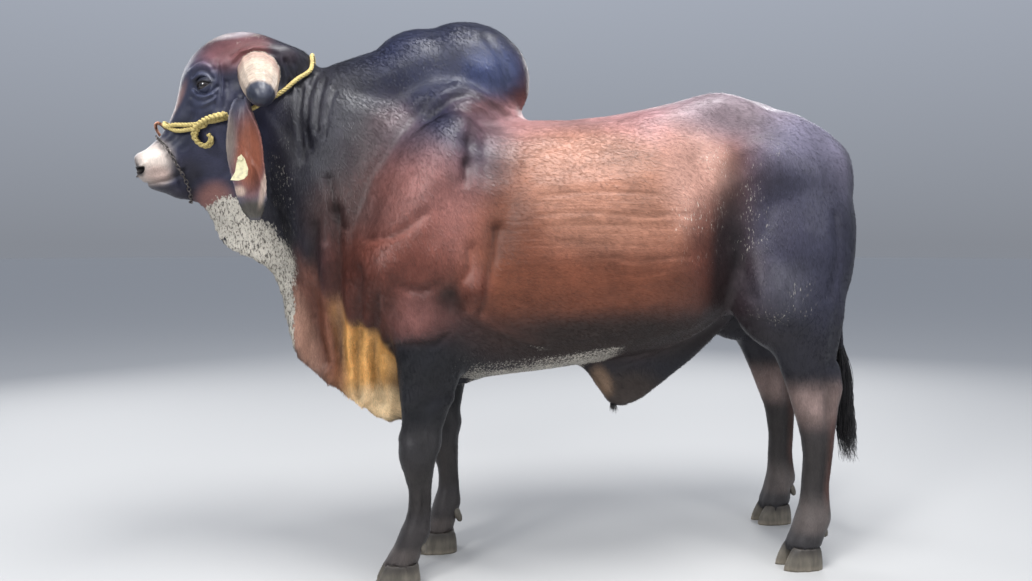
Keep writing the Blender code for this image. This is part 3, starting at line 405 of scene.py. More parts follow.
def small_form_places(points):
    found = np.zeros(len(points), bool)
    for side in SIDES:
        found |= distance_to(points, EYE_PLACES[side]) < FINE_EYE
        found |= distance_to(points, NOSTRILS[side]) < FINE_NOSTRIL
    x, z = FINE_MUZZLE
    return found | (points[:, 0] < x) & (points[:, 2] < z)


relax(skin_mesh, HEAD_ROUNDS)
relax(skin_mesh, BODY_ROUNDS - HEAD_ROUNDS, 1 - in_head(points_of(skin_mesh)))
first = points_of(skin_mesh)
relax(skin_mesh, LOIN_ROUNDS, soft_ellipse(first, *LOIN), (RELAX_IN,))
relax(skin_mesh, LIP_ROUNDS, soft_ellipse(first, *LIPS))
first = points_of(skin_mesh)
coarse = (in_head(first) > 0.5) | in_ellipse(first, *BARREL_CREASES) | in_ellipse(first, *NECK_WRINKLES)
refine(skin_mesh, coarse, FINE_ROUNDS)
refine(skin_mesh, small_form_places(points_of(skin_mesh)), FINE_ROUNDS)
for side in SIDES:
    refine(skin_mesh, distance_to(points_of(skin_mesh), EYE_PLACES[side]) < FINEST_EYE, 2)
print("refined skin:", len(skin_mesh.vertices), "vertices")

# %% [markdown]
# ## Relief
# Under a short coat a bull's muscles, tendons and folds make all the difference. Each swelling and each
# groove is named by where it lies in the side view, and it is pushed along the skin's own normals, on both
# sides alike. A groove is a path with a half width and a depth, and a negative depth makes a ridge.

# %% Muscles and folds of the body
# x, z, half length, half height, turn in degrees, rise
SWELLINGS = (
    (-0.3, 1.12, 0.062, 0.21, 24, 0.013),
    (-0.445, 0.9, 0.052, 0.075, 0, 0.017),
    (-0.285, 0.93, 0.07, 0.08, -20, 0.017),
    (-0.192, 0.852, 0.03, 0.042, 0, 0.02),
    (-0.35, 0.79, 0.04, 0.036, 0, 0.016),
    (-0.267, 0.819, 0.026, 0.03, 0, -0.0198),
    (-0.33, 0.64, 0.045, 0.06, 0, 0.009),
    (0.77, 0.95, 0.11, 0.15, 5, 0.0108),
    (0.655, 0.8, 0.05, 0.08, -20, 0.0126),
    (0.72, 1.2, 0.11, 0.05, 20, 0.009),
    (0.43, 1.23, 0.055, 0.07, 0, -0.0108),
    (-0.11, 1.08, 0.036, 0.18, 8, -0.009),
    (0.53, 0.96, 0.045, 0.15, 0, -0.0108),
    (-0.209, 1.24, 0.018, 0.018, 0, -0.0126),
    (-0.215, 1.18, 0.016, 0.016, 0, -0.0108),
)
# on top of the back, just before the hips
BACK_SWELLINGS = ((0.43, 1.38, 0.07, 0.06, 0, 0.006), (0.545, 1.4, 0.07, 0.05, 0, 0.006))
# half width, depth, places
BODY_GROOVES = (
    (0.016, 0.0119, ((-0.079, 1.337), (-0.136, 1.364), (-0.192, 1.389), (-0.247, 1.371), (-0.303, 1.315))),
    (0.009, 0.0068, ((-0.06, 1.362), (-0.11, 1.385), (-0.165, 1.408))),
    (0.012, 0.0068, ((-0.137, 1.56), (-0.1, 1.5), (-0.075, 1.43))),
    (0.014, 0.0102, ((-0.196, 1.29), (-0.205, 1.2), (-0.22, 1.136))),
    (0.016, 0.0068, ((-0.311, 1.359), (-0.389, 1.266), (-0.468, 1.148), (-0.521, 1.005), (-0.535, 0.874))),
    (0.009, 0.0102, ((-0.212, 0.96), (-0.216, 0.915), (-0.222, 0.88))),
    (0.008, 0.0119, ((-0.425, 0.686), (-0.364, 0.7), (-0.3, 0.702), (-0.27, 0.722))),
    (0.012, -0.0085, ((-0.21, 0.79), (-0.15, 0.745), (-0.08, 0.715), (0.0, 0.69))),
    (0.013, 0.012, ((-0.14, 1.01), (-0.152, 0.93), (-0.17, 0.85), (-0.182, 0.79))),
    (0.012, 0.011, ((-0.405, 0.868), (-0.37, 0.85), (-0.33, 0.848), (-0.292, 0.866))),
    (0.013, 0.008, ((-0.47, 0.98), (-0.42, 0.985), (-0.37, 1.01), (-0.33, 1.05))),
    (0.01, -0.0119, ((0.56, 0.76), (0.51, 0.716), (0.44, 0.68), (0.362, 0.64), (0.274, 0.612))),
    (0.01, 0.0085, ((0.558, 0.735), (0.61, 0.748), (0.653, 0.75), (0.71, 0.735))),
    (0.016, 0.0085, ((0.6, 0.82), (0.575, 0.9), (0.565, 0.98))),
    (0.014, 0.0068, ((0.84, 1.05), (0.85, 0.94), (0.835, 0.82))),
)
DEWLAP_FOLDS = (
    (0.014, 0.016, ((-0.62, 1.02), (-0.628, 0.91), (-0.63, 0.807), (-0.622, 0.7), (-0.6, 0.626))),
    (0.014, 0.0185, ((-0.562, 1.06), (-0.556, 0.936), (-0.561, 0.807), (-0.557, 0.677), (-0.544, 0.598))),
    (0.013, 0.0185, ((-0.5, 0.9), (-0.5, 0.807), (-0.502, 0.691), (-0.512, 0.598), (-0.502, 0.52))),
    (0.013, 0.016, ((-0.453, 0.83), (-0.455, 0.74), (-0.46, 0.66), (-0.448, 0.56), (-0.44, 0.5))),
    (0.01, -0.008, ((-0.592, 0.96), (-0.596, 0.86), (-0.59, 0.74), (-0.57, 0.64))),
    (0.01, -0.008, ((-0.53, 0.88), (-0.53, 0.78), (-0.532, 0.68), (-0.524, 0.58))),
    (0.01, -0.008, ((-0.478, 0.82), (-0.478, 0.7), (-0.48, 0.6), (-0.47, 0.52))),
    (0.01, 0.008, ((-0.578, 1.148), (-0.566, 1.08), (-0.54, 1.01))),
)
NECK_FOLDS = (
    (0.0085, 0.009, ((-0.651, 1.4), (-0.657, 1.329), (-0.653, 1.262), (-0.648, 1.2))),
    (0.0075, 0.0075, ((-0.616, 1.44), (-0.634, 1.37), (-0.64, 1.289), (-0.63, 1.23))),
    (0.007, 0.006, ((-0.59, 1.43), (-0.606, 1.357), (-0.612, 1.276))),
    (0.007, 0.0083, ((-0.688, 1.466), (-0.672, 1.426), (-0.686, 1.383))),
    (0.007, 0.0075, ((-0.664, 1.47), (-0.65, 1.438), (-0.66, 1.405))),
    (0.006, 0.0045, ((-0.56, 1.4), (-0.58, 1.33), (-0.59, 1.26))),
)
BARREL_LINES = (
    (0.006, 0.0016, ((-0.02, 1.094), (0.06, 1.106), (0.133, 1.111), (0.22, 1.106), (0.299, 1.102))),
    (0.006, 0.002, ((-0.03, 1.044), (0.04, 1.052), (0.106, 1.053), (0.19, 1.046), (0.272, 1.043),
                    (0.385, 1.049))),
    (0.0055, 0.0014, ((-0.016, 1.015), (0.06, 1.022), (0.133, 1.021), (0.23, 1.014), (0.329, 1.011))),
    (0.0055, 0.0012, ((0.02, 0.975), (0.11, 0.968), (0.2, 0.962), (0.3, 0.968))),
    (0.006, 0.0018, ((0.16, 0.935), (0.217, 0.922), (0.27, 0.924), (0.329, 0.93), (0.386, 0.935))),
    (0.0055, 0.0013, ((0.203, 0.885), (0.25, 0.884), (0.301, 0.892), (0.387, 0.908))),
)


def distance_to_path(places, path):
    """How far each place of the side view lies from a path."""
    nearest = np.full(len(places), 1e9)
    path = np.array(path)
    for start, end in zip(path, path[1:]):
        run = end - start
        share = np.clip((places - start) @ run / (run @ run), 0, 1)
        nearest = np.minimum(nearest, np.linalg.norm(places - start - share[:, None] * run, axis=1))
    return nearest


def swelling_height(places, swellings):
    height = np.zeros(len(places))
    for x, z, half_x, half_z, turn, rise in swellings:
        height += rise * np.exp(-0.7 * ellipse_reach(places, x, z, half_x, half_z, -turn) ** 2)
    return height


def groove_height(places, grooves):
    height = np.zeros(len(places))
    for half, depth, path in grooves:
        height -= depth * np.exp(-((distance_to_path(places, path) / half) ** 2))
    return height


RELIEF = np.zeros(len(skin_mesh.vertices))


def raise_skin(mesh, height):
    """Pushes a mesh along its normals. The skin's heights are added up for its painted shade and light."""
    move_points(mesh, points_of(mesh) + normals_of(mesh) * height[:, None])
    if mesh == skin_mesh:
        RELIEF[:] += height


def side_facing(mesh):
    """1 where the skin looks sideways, 0 where it looks ahead, up, down or lies in the middle plane."""
    points, normals = points_of(mesh), normals_of(mesh)
    outward = np.clip(normals[:, 1] * np.sign(points[:, 1]), 0, 1) ** 0.6
    return outward * np.clip(np.abs(points[:, 1]) / 0.02, 0, 1)


BODY_FOLDS = BODY_GROOVES + DEWLAP_FOLDS + NECK_FOLDS + BARREL_LINES


def shape_body(mesh):
    places = points_of(mesh)[:, [0, 2]]
    height = swelling_height(places, SWELLINGS) + groove_height(places, BODY_FOLDS)
    raise_skin(mesh, height * side_facing(mesh))
    upward = np.clip(normals_of(mesh)[:, 2], 0, 1)
    raise_skin(mesh, swelling_height(places, BACK_SWELLINGS) * upward)


shape_body(skin_mesh)
print("folds:", len(BODY_FOLDS))

# %% [markdown]
# A leg's forms follow the leg, not the side view of the whole bull, because the far legs stand further back.
# So each height of a leg is measured first, and a tendon's groove, a knee and a hock are placed by their
# share of the leg's depth, from its front edge to its back edge.

# %% Tendons, knees and hocks
LEG_TOP, LEG_FADE, LEG_SPLIT, LEG_INNER, LEG_MARGIN = 0.62, 0.12, 0.25, (0.045, 0.065), 0.01
LEG_NODES = ("leg_front_left", "leg_front_right", "leg_hind_left", "leg_hind_right")
# share of the depth (-1 front, 1 back), half width as a share, height, half height, rise
FORE_LEG_FORMS = (
    (0.3, 0.2, 0.255, 0.085, -0.0067),
    (-0.55, 0.5, 0.405, 0.05, 0.0095),
    (0.05, 0.3, 0.395, 0.02, -0.0045),
    (0.85, 0.4, 0.405, 0.026, 0.011),
    (0.2, 0.9, 0.14, 0.034, 0.0075),
    (-0.1, 0.22, 0.52, 0.08, -0.0085),
    (0.45, 0.26, 0.52, 0.09, 0.007),
)
HIND_LEG_FORMS = (
    (0.2, 0.2, 0.3, 0.11, -0.0075),
    (0.55, 0.22, 0.3, 0.11, 0.0037),
    (0.35, 0.25, 0.5, 0.06, -0.012),
    (-0.45, 0.38, 0.47, 0.045, 0.01),
    (0.9, 0.34, 0.545, 0.035, 0.0095),
    (0.2, 0.9, 0.14, 0.034, 0.0075),
)


def side_of(node):
    return -1 if "left" in node else 1


def leg_profile(points, node, step=0.02):
    """Heights with the front and back edge of a leg at each of them."""
    low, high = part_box(node)
    mine = (points[:, 0] > low.x - LEG_MARGIN) & (points[:, 0] < high.x + LEG_MARGIN)
    mine &= points[:, 1] * side_of(node) > 0
    heights = np.arange(low.z + step, LEG_TOP, step)
    edges = []
    for height in heights:
        band = points[mine & (np.abs(points[:, 2] - height) < step)]
        edges.append((band[:, 0].min(), band[:, 0].max()))
    return heights, np.array(edges)


def leg_share(skin_points, node, points):
    """Where each point lies between the front (-1) and back (1) edge of this leg."""
    heights, edges = leg_profile(skin_points, node)
    front = np.interp(points[:, 2], heights, edges[:, 0])
    back = np.interp(points[:, 2], heights, edges[:, 1])
    return (2 * points[:, 0] - front - back) / np.maximum(back - front, 0.02)


def on_leg(points, node):
    """1 on this leg below the body, 0 elsewhere."""
    behind = points[:, 0] > LEG_SPLIT
    mine = behind if "hind" in node else ~behind
    beside = smooth_step(points[:, 1] * side_of(node), *LEG_INNER)
    return mine * beside * smooth_step(points[:, 2], LEG_TOP, LEG_TOP - LEG_FADE)


def shape_legs(mesh):
    points = points_of(mesh)
    height = np.zeros(len(points))
    for node in LEG_NODES:
        share = leg_share(points, node, points)
        forms = HIND_LEG_FORMS if "hind" in node else FORE_LEG_FORMS
        for place, half, level, half_level, rise in forms:
            across = (share - place) / half
            up = (points[:, 2] - level) / half_level
            height += rise * on_leg(points, node) * np.exp(-0.7 * (across ** 2 + up ** 2))
    raise_skin(mesh, height)


shape_legs(skin_mesh)

# %% [markdown]
# ## The head's folds
# A Gyr's brow hangs over the eye in folds, the skin wrinkles round the root of the horn, and the lips and
# nostrils are full. Long forms are grooves of the side view again. Lids are different: they hug the
# eyeball, so they are worked out round its centre, in the direction in which the eye looks.

# %% Head relief
HEAD_SWELLINGS = (
    (-0.915, 1.442, 0.044, 0.02, -10, 0.007),
    (-0.905, 1.345, 0.046, 0.022, 0, 0.005),
    (-0.865, 1.27, 0.045, 0.055, 0, 0.004),
    (-0.95, 1.33, 0.02, 0.028, 0, -0.0035),
    (-0.985, 1.27, 0.036, 0.022, -40, -0.0035),
    (-0.84, 1.395, 0.02, 0.03, 0, -0.005),
    (-1.06, 1.2, 0.024, 0.024, 0, 0.004),
    (-0.8, 1.25, 0.03, 0.06, 10, -0.004),
)
MUZZLE_FRONT = ((-1.105, 1.165, 0.026, 0.034, 0, -0.009), (-1.085, 1.118, 0.03, 0.016, 0, 0.005))
# half width, depth, places
HEAD_GROOVES = (
    (0.0055, 0.005, ((-0.936, 1.446), (-0.918, 1.46), (-0.902, 1.462), (-0.888, 1.455), (-0.876, 1.435))),
    (0.006, -0.0042, ((-0.934, 1.434), (-0.917, 1.447), (-0.902, 1.449), (-0.886, 1.44))),
    (0.0048, 0.0052, ((-0.934, 1.418), (-0.92, 1.43), (-0.905, 1.432), (-0.89, 1.425), (-0.88, 1.411))),
    (0.0055, -0.0036, ((-0.932, 1.41), (-0.915, 1.419), (-0.9, 1.418), (-0.886, 1.406))),
    (0.0048, 0.0046, ((-0.934, 1.388), (-0.917, 1.374), (-0.898, 1.369), (-0.882, 1.376), (-0.868, 1.39))),
    (0.0055, -0.0036, ((-0.936, 1.378), (-0.917, 1.363), (-0.9, 1.36), (-0.88, 1.367))),
    (0.005, 0.0042, ((-0.94, 1.365), (-0.922, 1.353), (-0.905, 1.351), (-0.889, 1.356), (-0.874, 1.368))),
    (0.0055, 0.0034, ((-0.947, 1.342), (-0.93, 1.332), (-0.913, 1.33), (-0.896, 1.334), (-0.88, 1.343))),
    (0.0052, 0.005, ((-0.868, 1.456), (-0.862, 1.425), (-0.861, 1.391), (-0.866, 1.36), (-0.873, 1.332))),
    (0.0055, -0.0032, ((-0.858, 1.45), (-0.855, 1.41), (-0.856, 1.365))),
    (0.005, 0.0044, ((-0.848, 1.436), (-0.846, 1.4), (-0.847, 1.365), (-0.855, 1.335))),
    (0.0055, 0.005, ((-0.82, 1.452), (-0.804, 1.476), (-0.775, 1.488), (-0.745, 1.49), (-0.713, 1.48))),
    (0.0055, -0.0034, ((-0.826, 1.462), (-0.806, 1.485), (-0.775, 1.497), (-0.742, 1.499))),
    (0.005, 0.004, ((-0.832, 1.47), (-0.808, 1.493), (-0.775, 1.506), (-0.74, 1.507))),
    (0.006, 0.0046, ((-0.714, 1.466), (-0.702, 1.436), (-0.704, 1.4))),
    (0.008, -0.0036, ((-1.08, 1.115), (-1.04, 1.119), (-0.995, 1.136))),
    (0.008, -0.003, ((-1.07, 1.148), (-1.02, 1.153), (-0.975, 1.18))),
    (0.006, 0.003, ((-1.01, 1.205), (-0.996, 1.18), (-0.985, 1.152), (-0.978, 1.125))),
    (0.01, 0.004, ((-0.93, 1.15), (-0.88, 1.155), (-0.82, 1.185))),
    (0.008, 0.0034, ((-0.935, 1.32), (-0.98, 1.27), (-1.02, 1.225))),
    (0.0055, 0.0026, ((-1.05, 1.222), (-1.03, 1.24), (-1.005, 1.25))),
    (0.0055, 0.0026, ((-0.975, 1.225), (-0.955, 1.235), (-0.94, 1.252))),
)
MOUTH = ((-1.16, 1.122), (-1.085, 1.13), (-1.05, 1.133), (-1.015, 1.141), (-0.985, 1.156), (-0.968, 1.17))
MOUTH_HALF, MOUTH_DEPTH = 0.0036, 0.006


def shape_head(mesh):
    points = points_of(mesh)
    places = points[:, [0, 2]]
    head = in_head(points)
    height = swelling_height(places, HEAD_SWELLINGS) + groove_height(places, HEAD_GROOVES)
    raise_skin(mesh, height * side_facing(mesh) * head)
    raise_skin(mesh, swelling_height(places, MUZZLE_FRONT) * head)
    places = points_of(mesh)[:, [0, 2]]
    mouth = np.exp(-((distance_to_path(places, MOUTH) / MOUTH_HALF) ** 2)) * head
    raise_skin(mesh, -MOUTH_DEPTH * mouth)


# %% Nostrils
NOSTRIL_LONG, NOSTRIL_WIDE, NOSTRIL_DEPTH, NOSTRIL_RIM = 0.0135, 0.007, 0.013, 0.0028
NOSTRIL_TURN, NOSTRIL_BEND, NOSTRIL_SHIFT, NOSTRIL_REACH = math.radians(25), 0.55, 0.3, 0.055
NOSTRIL_EDGE, RIM_AT, RIM_HALF, INWARD = (1.15, 0.55), 1.5, 0.42, (0.55, 0.8, 0.2)


def shape_nostrils(mesh):
    """A slanting comma pushed into each side of the muzzle, with a raised wing behind it."""
    points = points_of(mesh)
    for side, sign in SIDES.items():
        away = points - np.array(NOSTRILS[side])
        down, front = away @ np.array(HEAD_DOWN), away @ np.array(HEAD_FRONT)
        c, s = math.cos(NOSTRIL_TURN), math.sin(NOSTRIL_TURN)
        along = (down * c + front * s) / NOSTRIL_LONG
        across = (-down * s + front * c) / NOSTRIL_WIDE
        across = across - NOSTRIL_BEND * along ** 2 + NOSTRIL_SHIFT
        reach = np.sqrt(along ** 2 + across ** 2)
        mine = (distance_to(points, NOSTRILS[side]) < NOSTRIL_REACH) & (points[:, 1] * sign > 0)
        hole = smooth_step(reach, *NOSTRIL_EDGE) * mine
        rim = np.exp(-((reach - RIM_AT) / RIM_HALF) ** 2) * mine
        inward = np.array(INWARD) * (1, -sign, 1)
        points = points + (hole * NOSTRIL_DEPTH - rim * NOSTRIL_RIM)[:, None] * inward
    move_points(mesh, points)


# %% [markdown]
# Each lid is a thin shell over the eyeball. Inside the almond the skin dives behind the ball, just outside
# it lies on the ball, and further out it meets the face again. The upper lid hangs a little lower.

# %% Lids
LID_LONG, LID_UPPER, LID_LOWER, LID_THICK = 0.0225, 0.0092, 0.0118, 0.0032
LID_REACH, LID_HUG, LID_DIVE, LID_EDGE, LID_LEAST = 0.032, 0.017, 0.0085, 0.0025, 0.009
EYE_AREA, EYE_BEHIND, EYE_AHEAD = 0.075, -0.012, Vector((-0.25, 0, 0))


def eye_axes(mesh, side):
    """The eye's look, a little ahead of the skin's own direction there, its long axis and its upward axis."""
    around = distance_to(points_of(mesh), EYE_PLACES[side]) < LID_REACH
    skin_normal = Vector(normals_of(mesh)[around].mean(axis=0)).normalized()
    look = (skin_normal + EYE_AHEAD).normalized()
    long = (EYE_LONG - look * EYE_LONG.dot(look)).normalized()
    upward = look.cross(long)
    if upward.z < 0:
        upward = -upward
    return look, long, upward


def shape_lids(mesh, side):
    look, long, upward = EYE_AXES[side]
    points = points_of(mesh)
    away = points - np.array(EYE_PLACES[side])
    along, high, out = away @ np.array(long), away @ np.array(upward), away @ np.array(look)
    radius = np.hypot(along, high)
    mine = (distance_to(points, EYE_PLACES[side]) < EYE_AREA) & (out > EYE_BEHIND)
    share = along / LID_LONG
    opening = np.where(high > 0, LID_UPPER, LID_LOWER) * np.clip(1 - share ** 2, 0, None)
    inside = (np.abs(high) < opening) & mine
    edge = np.clip(opening - np.abs(high), 0, None) / LID_EDGE
    ball = np.sqrt(np.clip(EYE_RADIUS ** 2 - radius ** 2, 0, None))
    lid = np.sqrt(np.clip((EYE_RADIUS + LID_THICK) ** 2 - radius ** 2, 0, None))
    hug = smooth_step(radius, LID_REACH, LID_HUG) * mine
    new_out = out + hug * (np.maximum(lid, LID_LEAST) - out)
    new_out = np.where(inside, ball - LID_DIVE * np.clip(edge, 0.25, 1), new_out)
    move_points(mesh, points + (new_out - out)[:, None] * np.array(look))


EYE_AXES = {side: eye_axes(skin_mesh, side) for side in SIDES}
for side in SIDES:
    shape_lids(skin_mesh, side)
shape_head(skin_mesh)
shape_nostrils(skin_mesh)

# %% [markdown]
# The skin lies inside the solids by the depth of the coat, about two millimetres, so that the hair on it
# comes out level with them. Only the lids stay where they are, because they hug the eyeballs.

# %% Sink the skin under the coat
COAT_DEPTH, LID_CLEAR = 0.0022, (0.03, 0.055)


def sink_under_coat(mesh):
    points = points_of(mesh)
    depth = np.full(len(points), COAT_DEPTH)
    for side in SIDES:
        depth *= smooth_step(distance_to(points, EYE_PLACES[side]), *LID_CLEAR)
    move_points(mesh, points - normals_of(mesh) * depth[:, None])


sink_under_coat(skin_mesh)
new_piece("Hide", skin_mesh, FLESH)
print("skin triangles:", 2 * len(skin_mesh.polygons))

# %% [markdown]
# ## Markings
# The hide runs from a blue-black neck over a black hump and mahogany shoulder to a golden barrel, dark
# again on the thighs and legs, with a pale muzzle, a white speckled throat and belly, and white flecks on
# the flank. A painter would airbrush it: one ground colour, then soft washes of named colours, each an
# ellipse of the side view. They are stored on the vertices, so skin and coat can carry the same markings.

# %% Palette
PALETTE = {
    "charcoal": (34, 33, 41),
    "blue_black": (29, 30, 41),
    # slate and brow_grey, like cheek, are dark greys with a blue that is partly painted sky sheen
    "slate": (44, 47, 64),
    "brow_grey": (52, 56, 76),
    "dome_grey": (212, 202, 206),
    # maroon hair, lightened towards purple-grey as painted sheen
    "forehead": (106, 68, 72),
    "horn_skin": (100, 58, 58),
    "bridge_tan": (138, 106, 102),
    "neck_brown": (66, 45, 42),
    # black hair, tinted blue as painted sky sheen
    "hump_black": (22, 26, 50),
    # painted sky reflection on the rear of the hump
    "hump_sky_reflection": (50, 58, 88),
    "crease_red": (82, 53, 56),
    "shoulder_grey": (60, 54, 66),
    "plum": (118, 76, 70),
    "mahogany": (90, 48, 38),
    "umber": (46, 31, 28),
    "russet": (122, 72, 54),
    "gold": (149, 104, 84),
    # golden hair, paler and pinker on top as painted sky sheen
    "gold_top_and_sheen": (161, 120, 122),
    "brown": (110, 62, 42),
    # dark brown hair with painted shade under the belly
    "belly_brown_and_shade": (40, 28, 24),
    "flank_pink": (188, 145, 130),
    # hip and rump: dark hair lightened as painted sky sheen
    "hip": (132, 118, 124),
    "rump": (110, 105, 122),
    "thigh": (44, 44, 58),
    "thigh_grey": (66, 65, 74),
    "leg_black": (21, 21, 25),
    "knee_grey": (46, 44, 45),
    "cannon": (48, 44, 43),
    "hock_brown": (132, 112, 106),
    "cannon_red": (76, 50, 43),
    "fetlock": (78, 71, 68),
    "dewlap_red": (136, 86, 70),
    "dewlap_gold": (250, 190, 112),
    "dewlap_tan": (255, 222, 172),
    "muzzle": (204, 190, 180),
    "muzzle_pink": (170, 142, 132),
    # dark lip skin with painted shade under the muzzle
    "lip_skin_and_shade": (48, 46, 58),
    # painted shade inside the nostrils
    "nostril_shade": (26, 22, 25),
    "throat_pink": (126, 88, 82),
    # dark grey, with a blue that is partly painted sky sheen
    "cheek": (54, 55, 75),
    "dewlap_front": (172, 130, 110),
    "eye_skin": (26, 26, 34),
    "sheath_brown": (60, 50, 45),
    "sheath_tan": (150, 122, 98),
    "tail_grey": (58, 56, 62),
    "white_hair": (190, 184, 172),
}


def linear(name):
    """A palette colour as the linear values that Blender computes with."""
    share = np.array(PALETTE[name]) / 255
    return np.where(share < 0.04045, share / 12.92, ((share + 0.055) / 1.055) ** 2.4)


# %% Washes of the body and the head
DEWLAP_HALF, DEWLAP_FADE, NOSTRIL_SHADE = 0.075, 0.05, (0.024, 0.01)
CANNON_ACROSS, CANNON_LOW, CANNON_HIGH = (0.1, 0.8), (0.16, 0.24), (0.5, 0.4)
# colour, x, z, half length, half height, turn in degrees, strength
BODY_WASHES = (
    ("russet", 0.12, 1.08, 0.52, 0.36, 0, 1.0),
    # The top of the barrel: golden hair with painted sky sheen from above.
    ("gold_top_and_sheen", 0.13, 1.3, 0.44, 0.09, 0, 0.9),
    ("gold", 0.15, 1.12, 0.3, 0.19, -8, 0.95),
    ("gold", 0.1, 1.22, 0.17, 0.06, 0, 0.7),
    # Browner and darker low on the barrel: partly its hair, partly painted shade.
    ("brown", 0.12, 0.85, 0.36, 0.09, 0, 0.85),
    ("brown", -0.13, 0.98, 0.11, 0.23, 8, 0.8),
    # The belly's dark brown, deepened as painted shade underneath.
    ("belly_brown_and_shade", 0.2, 0.7, 0.42, 0.085, 0, 0.95),
    ("flank_pink", 0.42, 1.17, 0.11, 0.16, 0, 0.75),
    ("mahogany", 0.455, 0.96, 0.08, 0.15, 0, 0.8),
    # Hip and rump: dark hair, lightened as painted sky sheen.
    ("hip", 0.58, 1.35, 0.22, 0.08, 0, 0.9),
    ("rump", 0.78, 1.22, 0.17, 0.15, 0, 0.95),
    ("thigh", 0.73, 1.02, 0.2, 0.24, 0, 0.95),
    # Dark hair in front of the thigh, deepened as painted shade in the flank's hollow.
    ("leg_black", 0.525, 0.93, 0.066, 0.21, 0, 0.8),
    ("thigh_grey", 0.69, 0.84, 0.11, 0.075, 0, 0.7),
    ("thigh", 0.83, 0.86, 0.09, 0.16, 0, 0.8),
    ("shoulder_grey", -0.26, 1.23, 0.17, 0.15, 20, 0.95),
    ("plum", -0.33, 1.06, 0.15, 0.16, 20, 0.85),
    ("mahogany", -0.37, 0.93, 0.13, 0.11, 0, 0.85),
    # Painted shade in the hollow under the triceps.
    ("umber", -0.262, 0.815, 0.036, 0.05, 0, 0.8),
    ("mahogany", -0.2, 0.86, 0.045, 0.06, 0, 0.75),
    ("plum", -0.37, 0.775, 0.11, 0.07, 0, 0.85),
    ("leg_black", -0.33, 0.64, 0.14, 0.075, 0, 0.9),
    # The black hump, tinted blue as painted sky sheen.
    ("hump_black", -0.27, 1.49, 0.23, 0.15, 0, 1.0),
    ("crease_red", -0.17, 1.3, 0.06, 0.06, 0, 0.45),
    ("crease_red", -0.14, 1.358, 0.07, 0.016, 20, 0.8),
    # A bluish patch on the rear of the hump: painted sky reflection.
    ("hump_sky_reflection", -0.11, 1.465, 0.085, 0.075, 0, 1.0),
    # The hump's black again in front, with the same painted blue sheen.
    ("hump_black", -0.3, 1.34, 0.05, 0.11, 30, 0.75),
    ("neck_brown", -0.54, 1.04, 0.1, 0.11, 0, 0.85),
    ("mahogany", -0.5, 0.86, 0.11, 0.15, 0, 0.95),
    ("dewlap_red", -0.53, 0.86, 0.15, 0.13, 0, 0.95),
    ("dewlap_gold", -0.49, 0.69, 0.1, 0.18, 0, 0.95),
    ("dewlap_red", -0.6, 0.7, 0.04, 0.17, 14, 0.9),
    ("dewlap_front", -0.662, 0.715, 0.036, 0.14, 14, 0.9),
    ("dewlap_front", -0.555, 0.76, 0.014, 0.16, 0, 0.6),
    ("dewlap_tan", -0.45, 0.5, 0.085, 0.055, -10, 0.9),
    ("tail_grey", 0.96, 1.27, 0.07, 0.08, 0, 0.7),
    ("charcoal", 1.03, 0.85, 0.05, 0.33, 0, 1.0),
    ("sheath_brown", 0.31, 0.52, 0.1, 0.065, 0, 1.0),
    ("sheath_tan", 0.225, 0.55, 0.026, 0.05, 25, 0.85),
)
HEAD_WASHES = (
    # The blue of the cheek, slate and brow greys is partly painted sky sheen.
    ("cheek", -0.89, 1.27, 0.19, 0.2, 0, 1.0),
    ("cheek", -0.94, 1.44, 0.07, 0.09, -20, 0.9),
    ("slate", -0.93, 1.33, 0.07, 0.07, -25, 0.7),
    ("slate", -0.975, 1.262, 0.036, 0.06, -40, 0.9),
    # Maroon forehead, partly lightened as painted sheen.
    ("forehead", -0.82, 1.492, 0.105, 0.052, 12, 1.0),
    ("dome_grey", -0.842, 1.546, 0.08, 0.02, 5, 0.75),
    ("horn_skin", -0.765, 1.484, 0.085, 0.034, 0, 0.9),
    ("blue_black", -0.7, 1.48, 0.04, 0.08, 0, 0.9),
    ("brow_grey", -0.903, 1.384, 0.046, 0.07, 10, 0.85),
    ("bridge_tan", -0.99, 1.352, 0.014, 0.06, -32, 0.8),
    ("eye_skin", -0.906, 1.402, 0.032, 0.015, -8, 0.9),
    ("muzzle", -1.048, 1.185, 0.048, 0.06, -15, 1.0),
    ("muzzle_pink", -1.038, 1.158, 0.034, 0.024, 10, 0.65),
    # Dark lips, chin and mouth corner: partly lip skin, partly painted shade under and round the muzzle.
    ("lip_skin_and_shade", -1.02, 1.11, 0.085, 0.02, -6, 0.92),
    ("lip_skin_and_shade", -1.103, 1.174, 0.014, 0.028, 0, 0.85),
    ("lip_skin_and_shade", -0.965, 1.17, 0.036, 0.034, 0, 0.8),
    ("throat_pink", -0.9, 1.095, 0.052, 0.044, 30, 0.95),
)
# height, half height, colour, strength
FORE_LEG_BANDS = (
    (0.56, 0.15, "leg_black", 1.0),
    (0.4, 0.06, "knee_grey", 0.9),
    (0.27, 0.085, "cannon", 1.0),
    (0.14, 0.055, "cannon", 0.9),
    (0.08, 0.03, "fetlock", 0.9),
)
HIND_LEG_BANDS = (
    (0.64, 0.11, "leg_black", 1.0),
    (0.49, 0.075, "hock_brown", 0.9),
    (0.3, 0.13, "cannon", 1.0),
    (0.15, 0.06, "fetlock", 0.9),
    (0.08, 0.03, "knee_grey", 0.8),
)


def ellipse_weight(places, *ellipse):
    """1 inside an ellipse of the side view, fading to 0 a little outside it."""
    return smooth_step(ellipse_reach(places, *ellipse), 1.45, 0.45)


def blend(colours, name, weight):
    return colours + (linear(name) - colours) * weight[:, None]


def washed(colours, places, washes, where=1.0):
    """Lays these washes over the colours, one after the other."""
    for name, *ellipse, strength in washes:
        colours = blend(colours, name, strength * ellipse_weight(places, *ellipse) * where)
    return colours


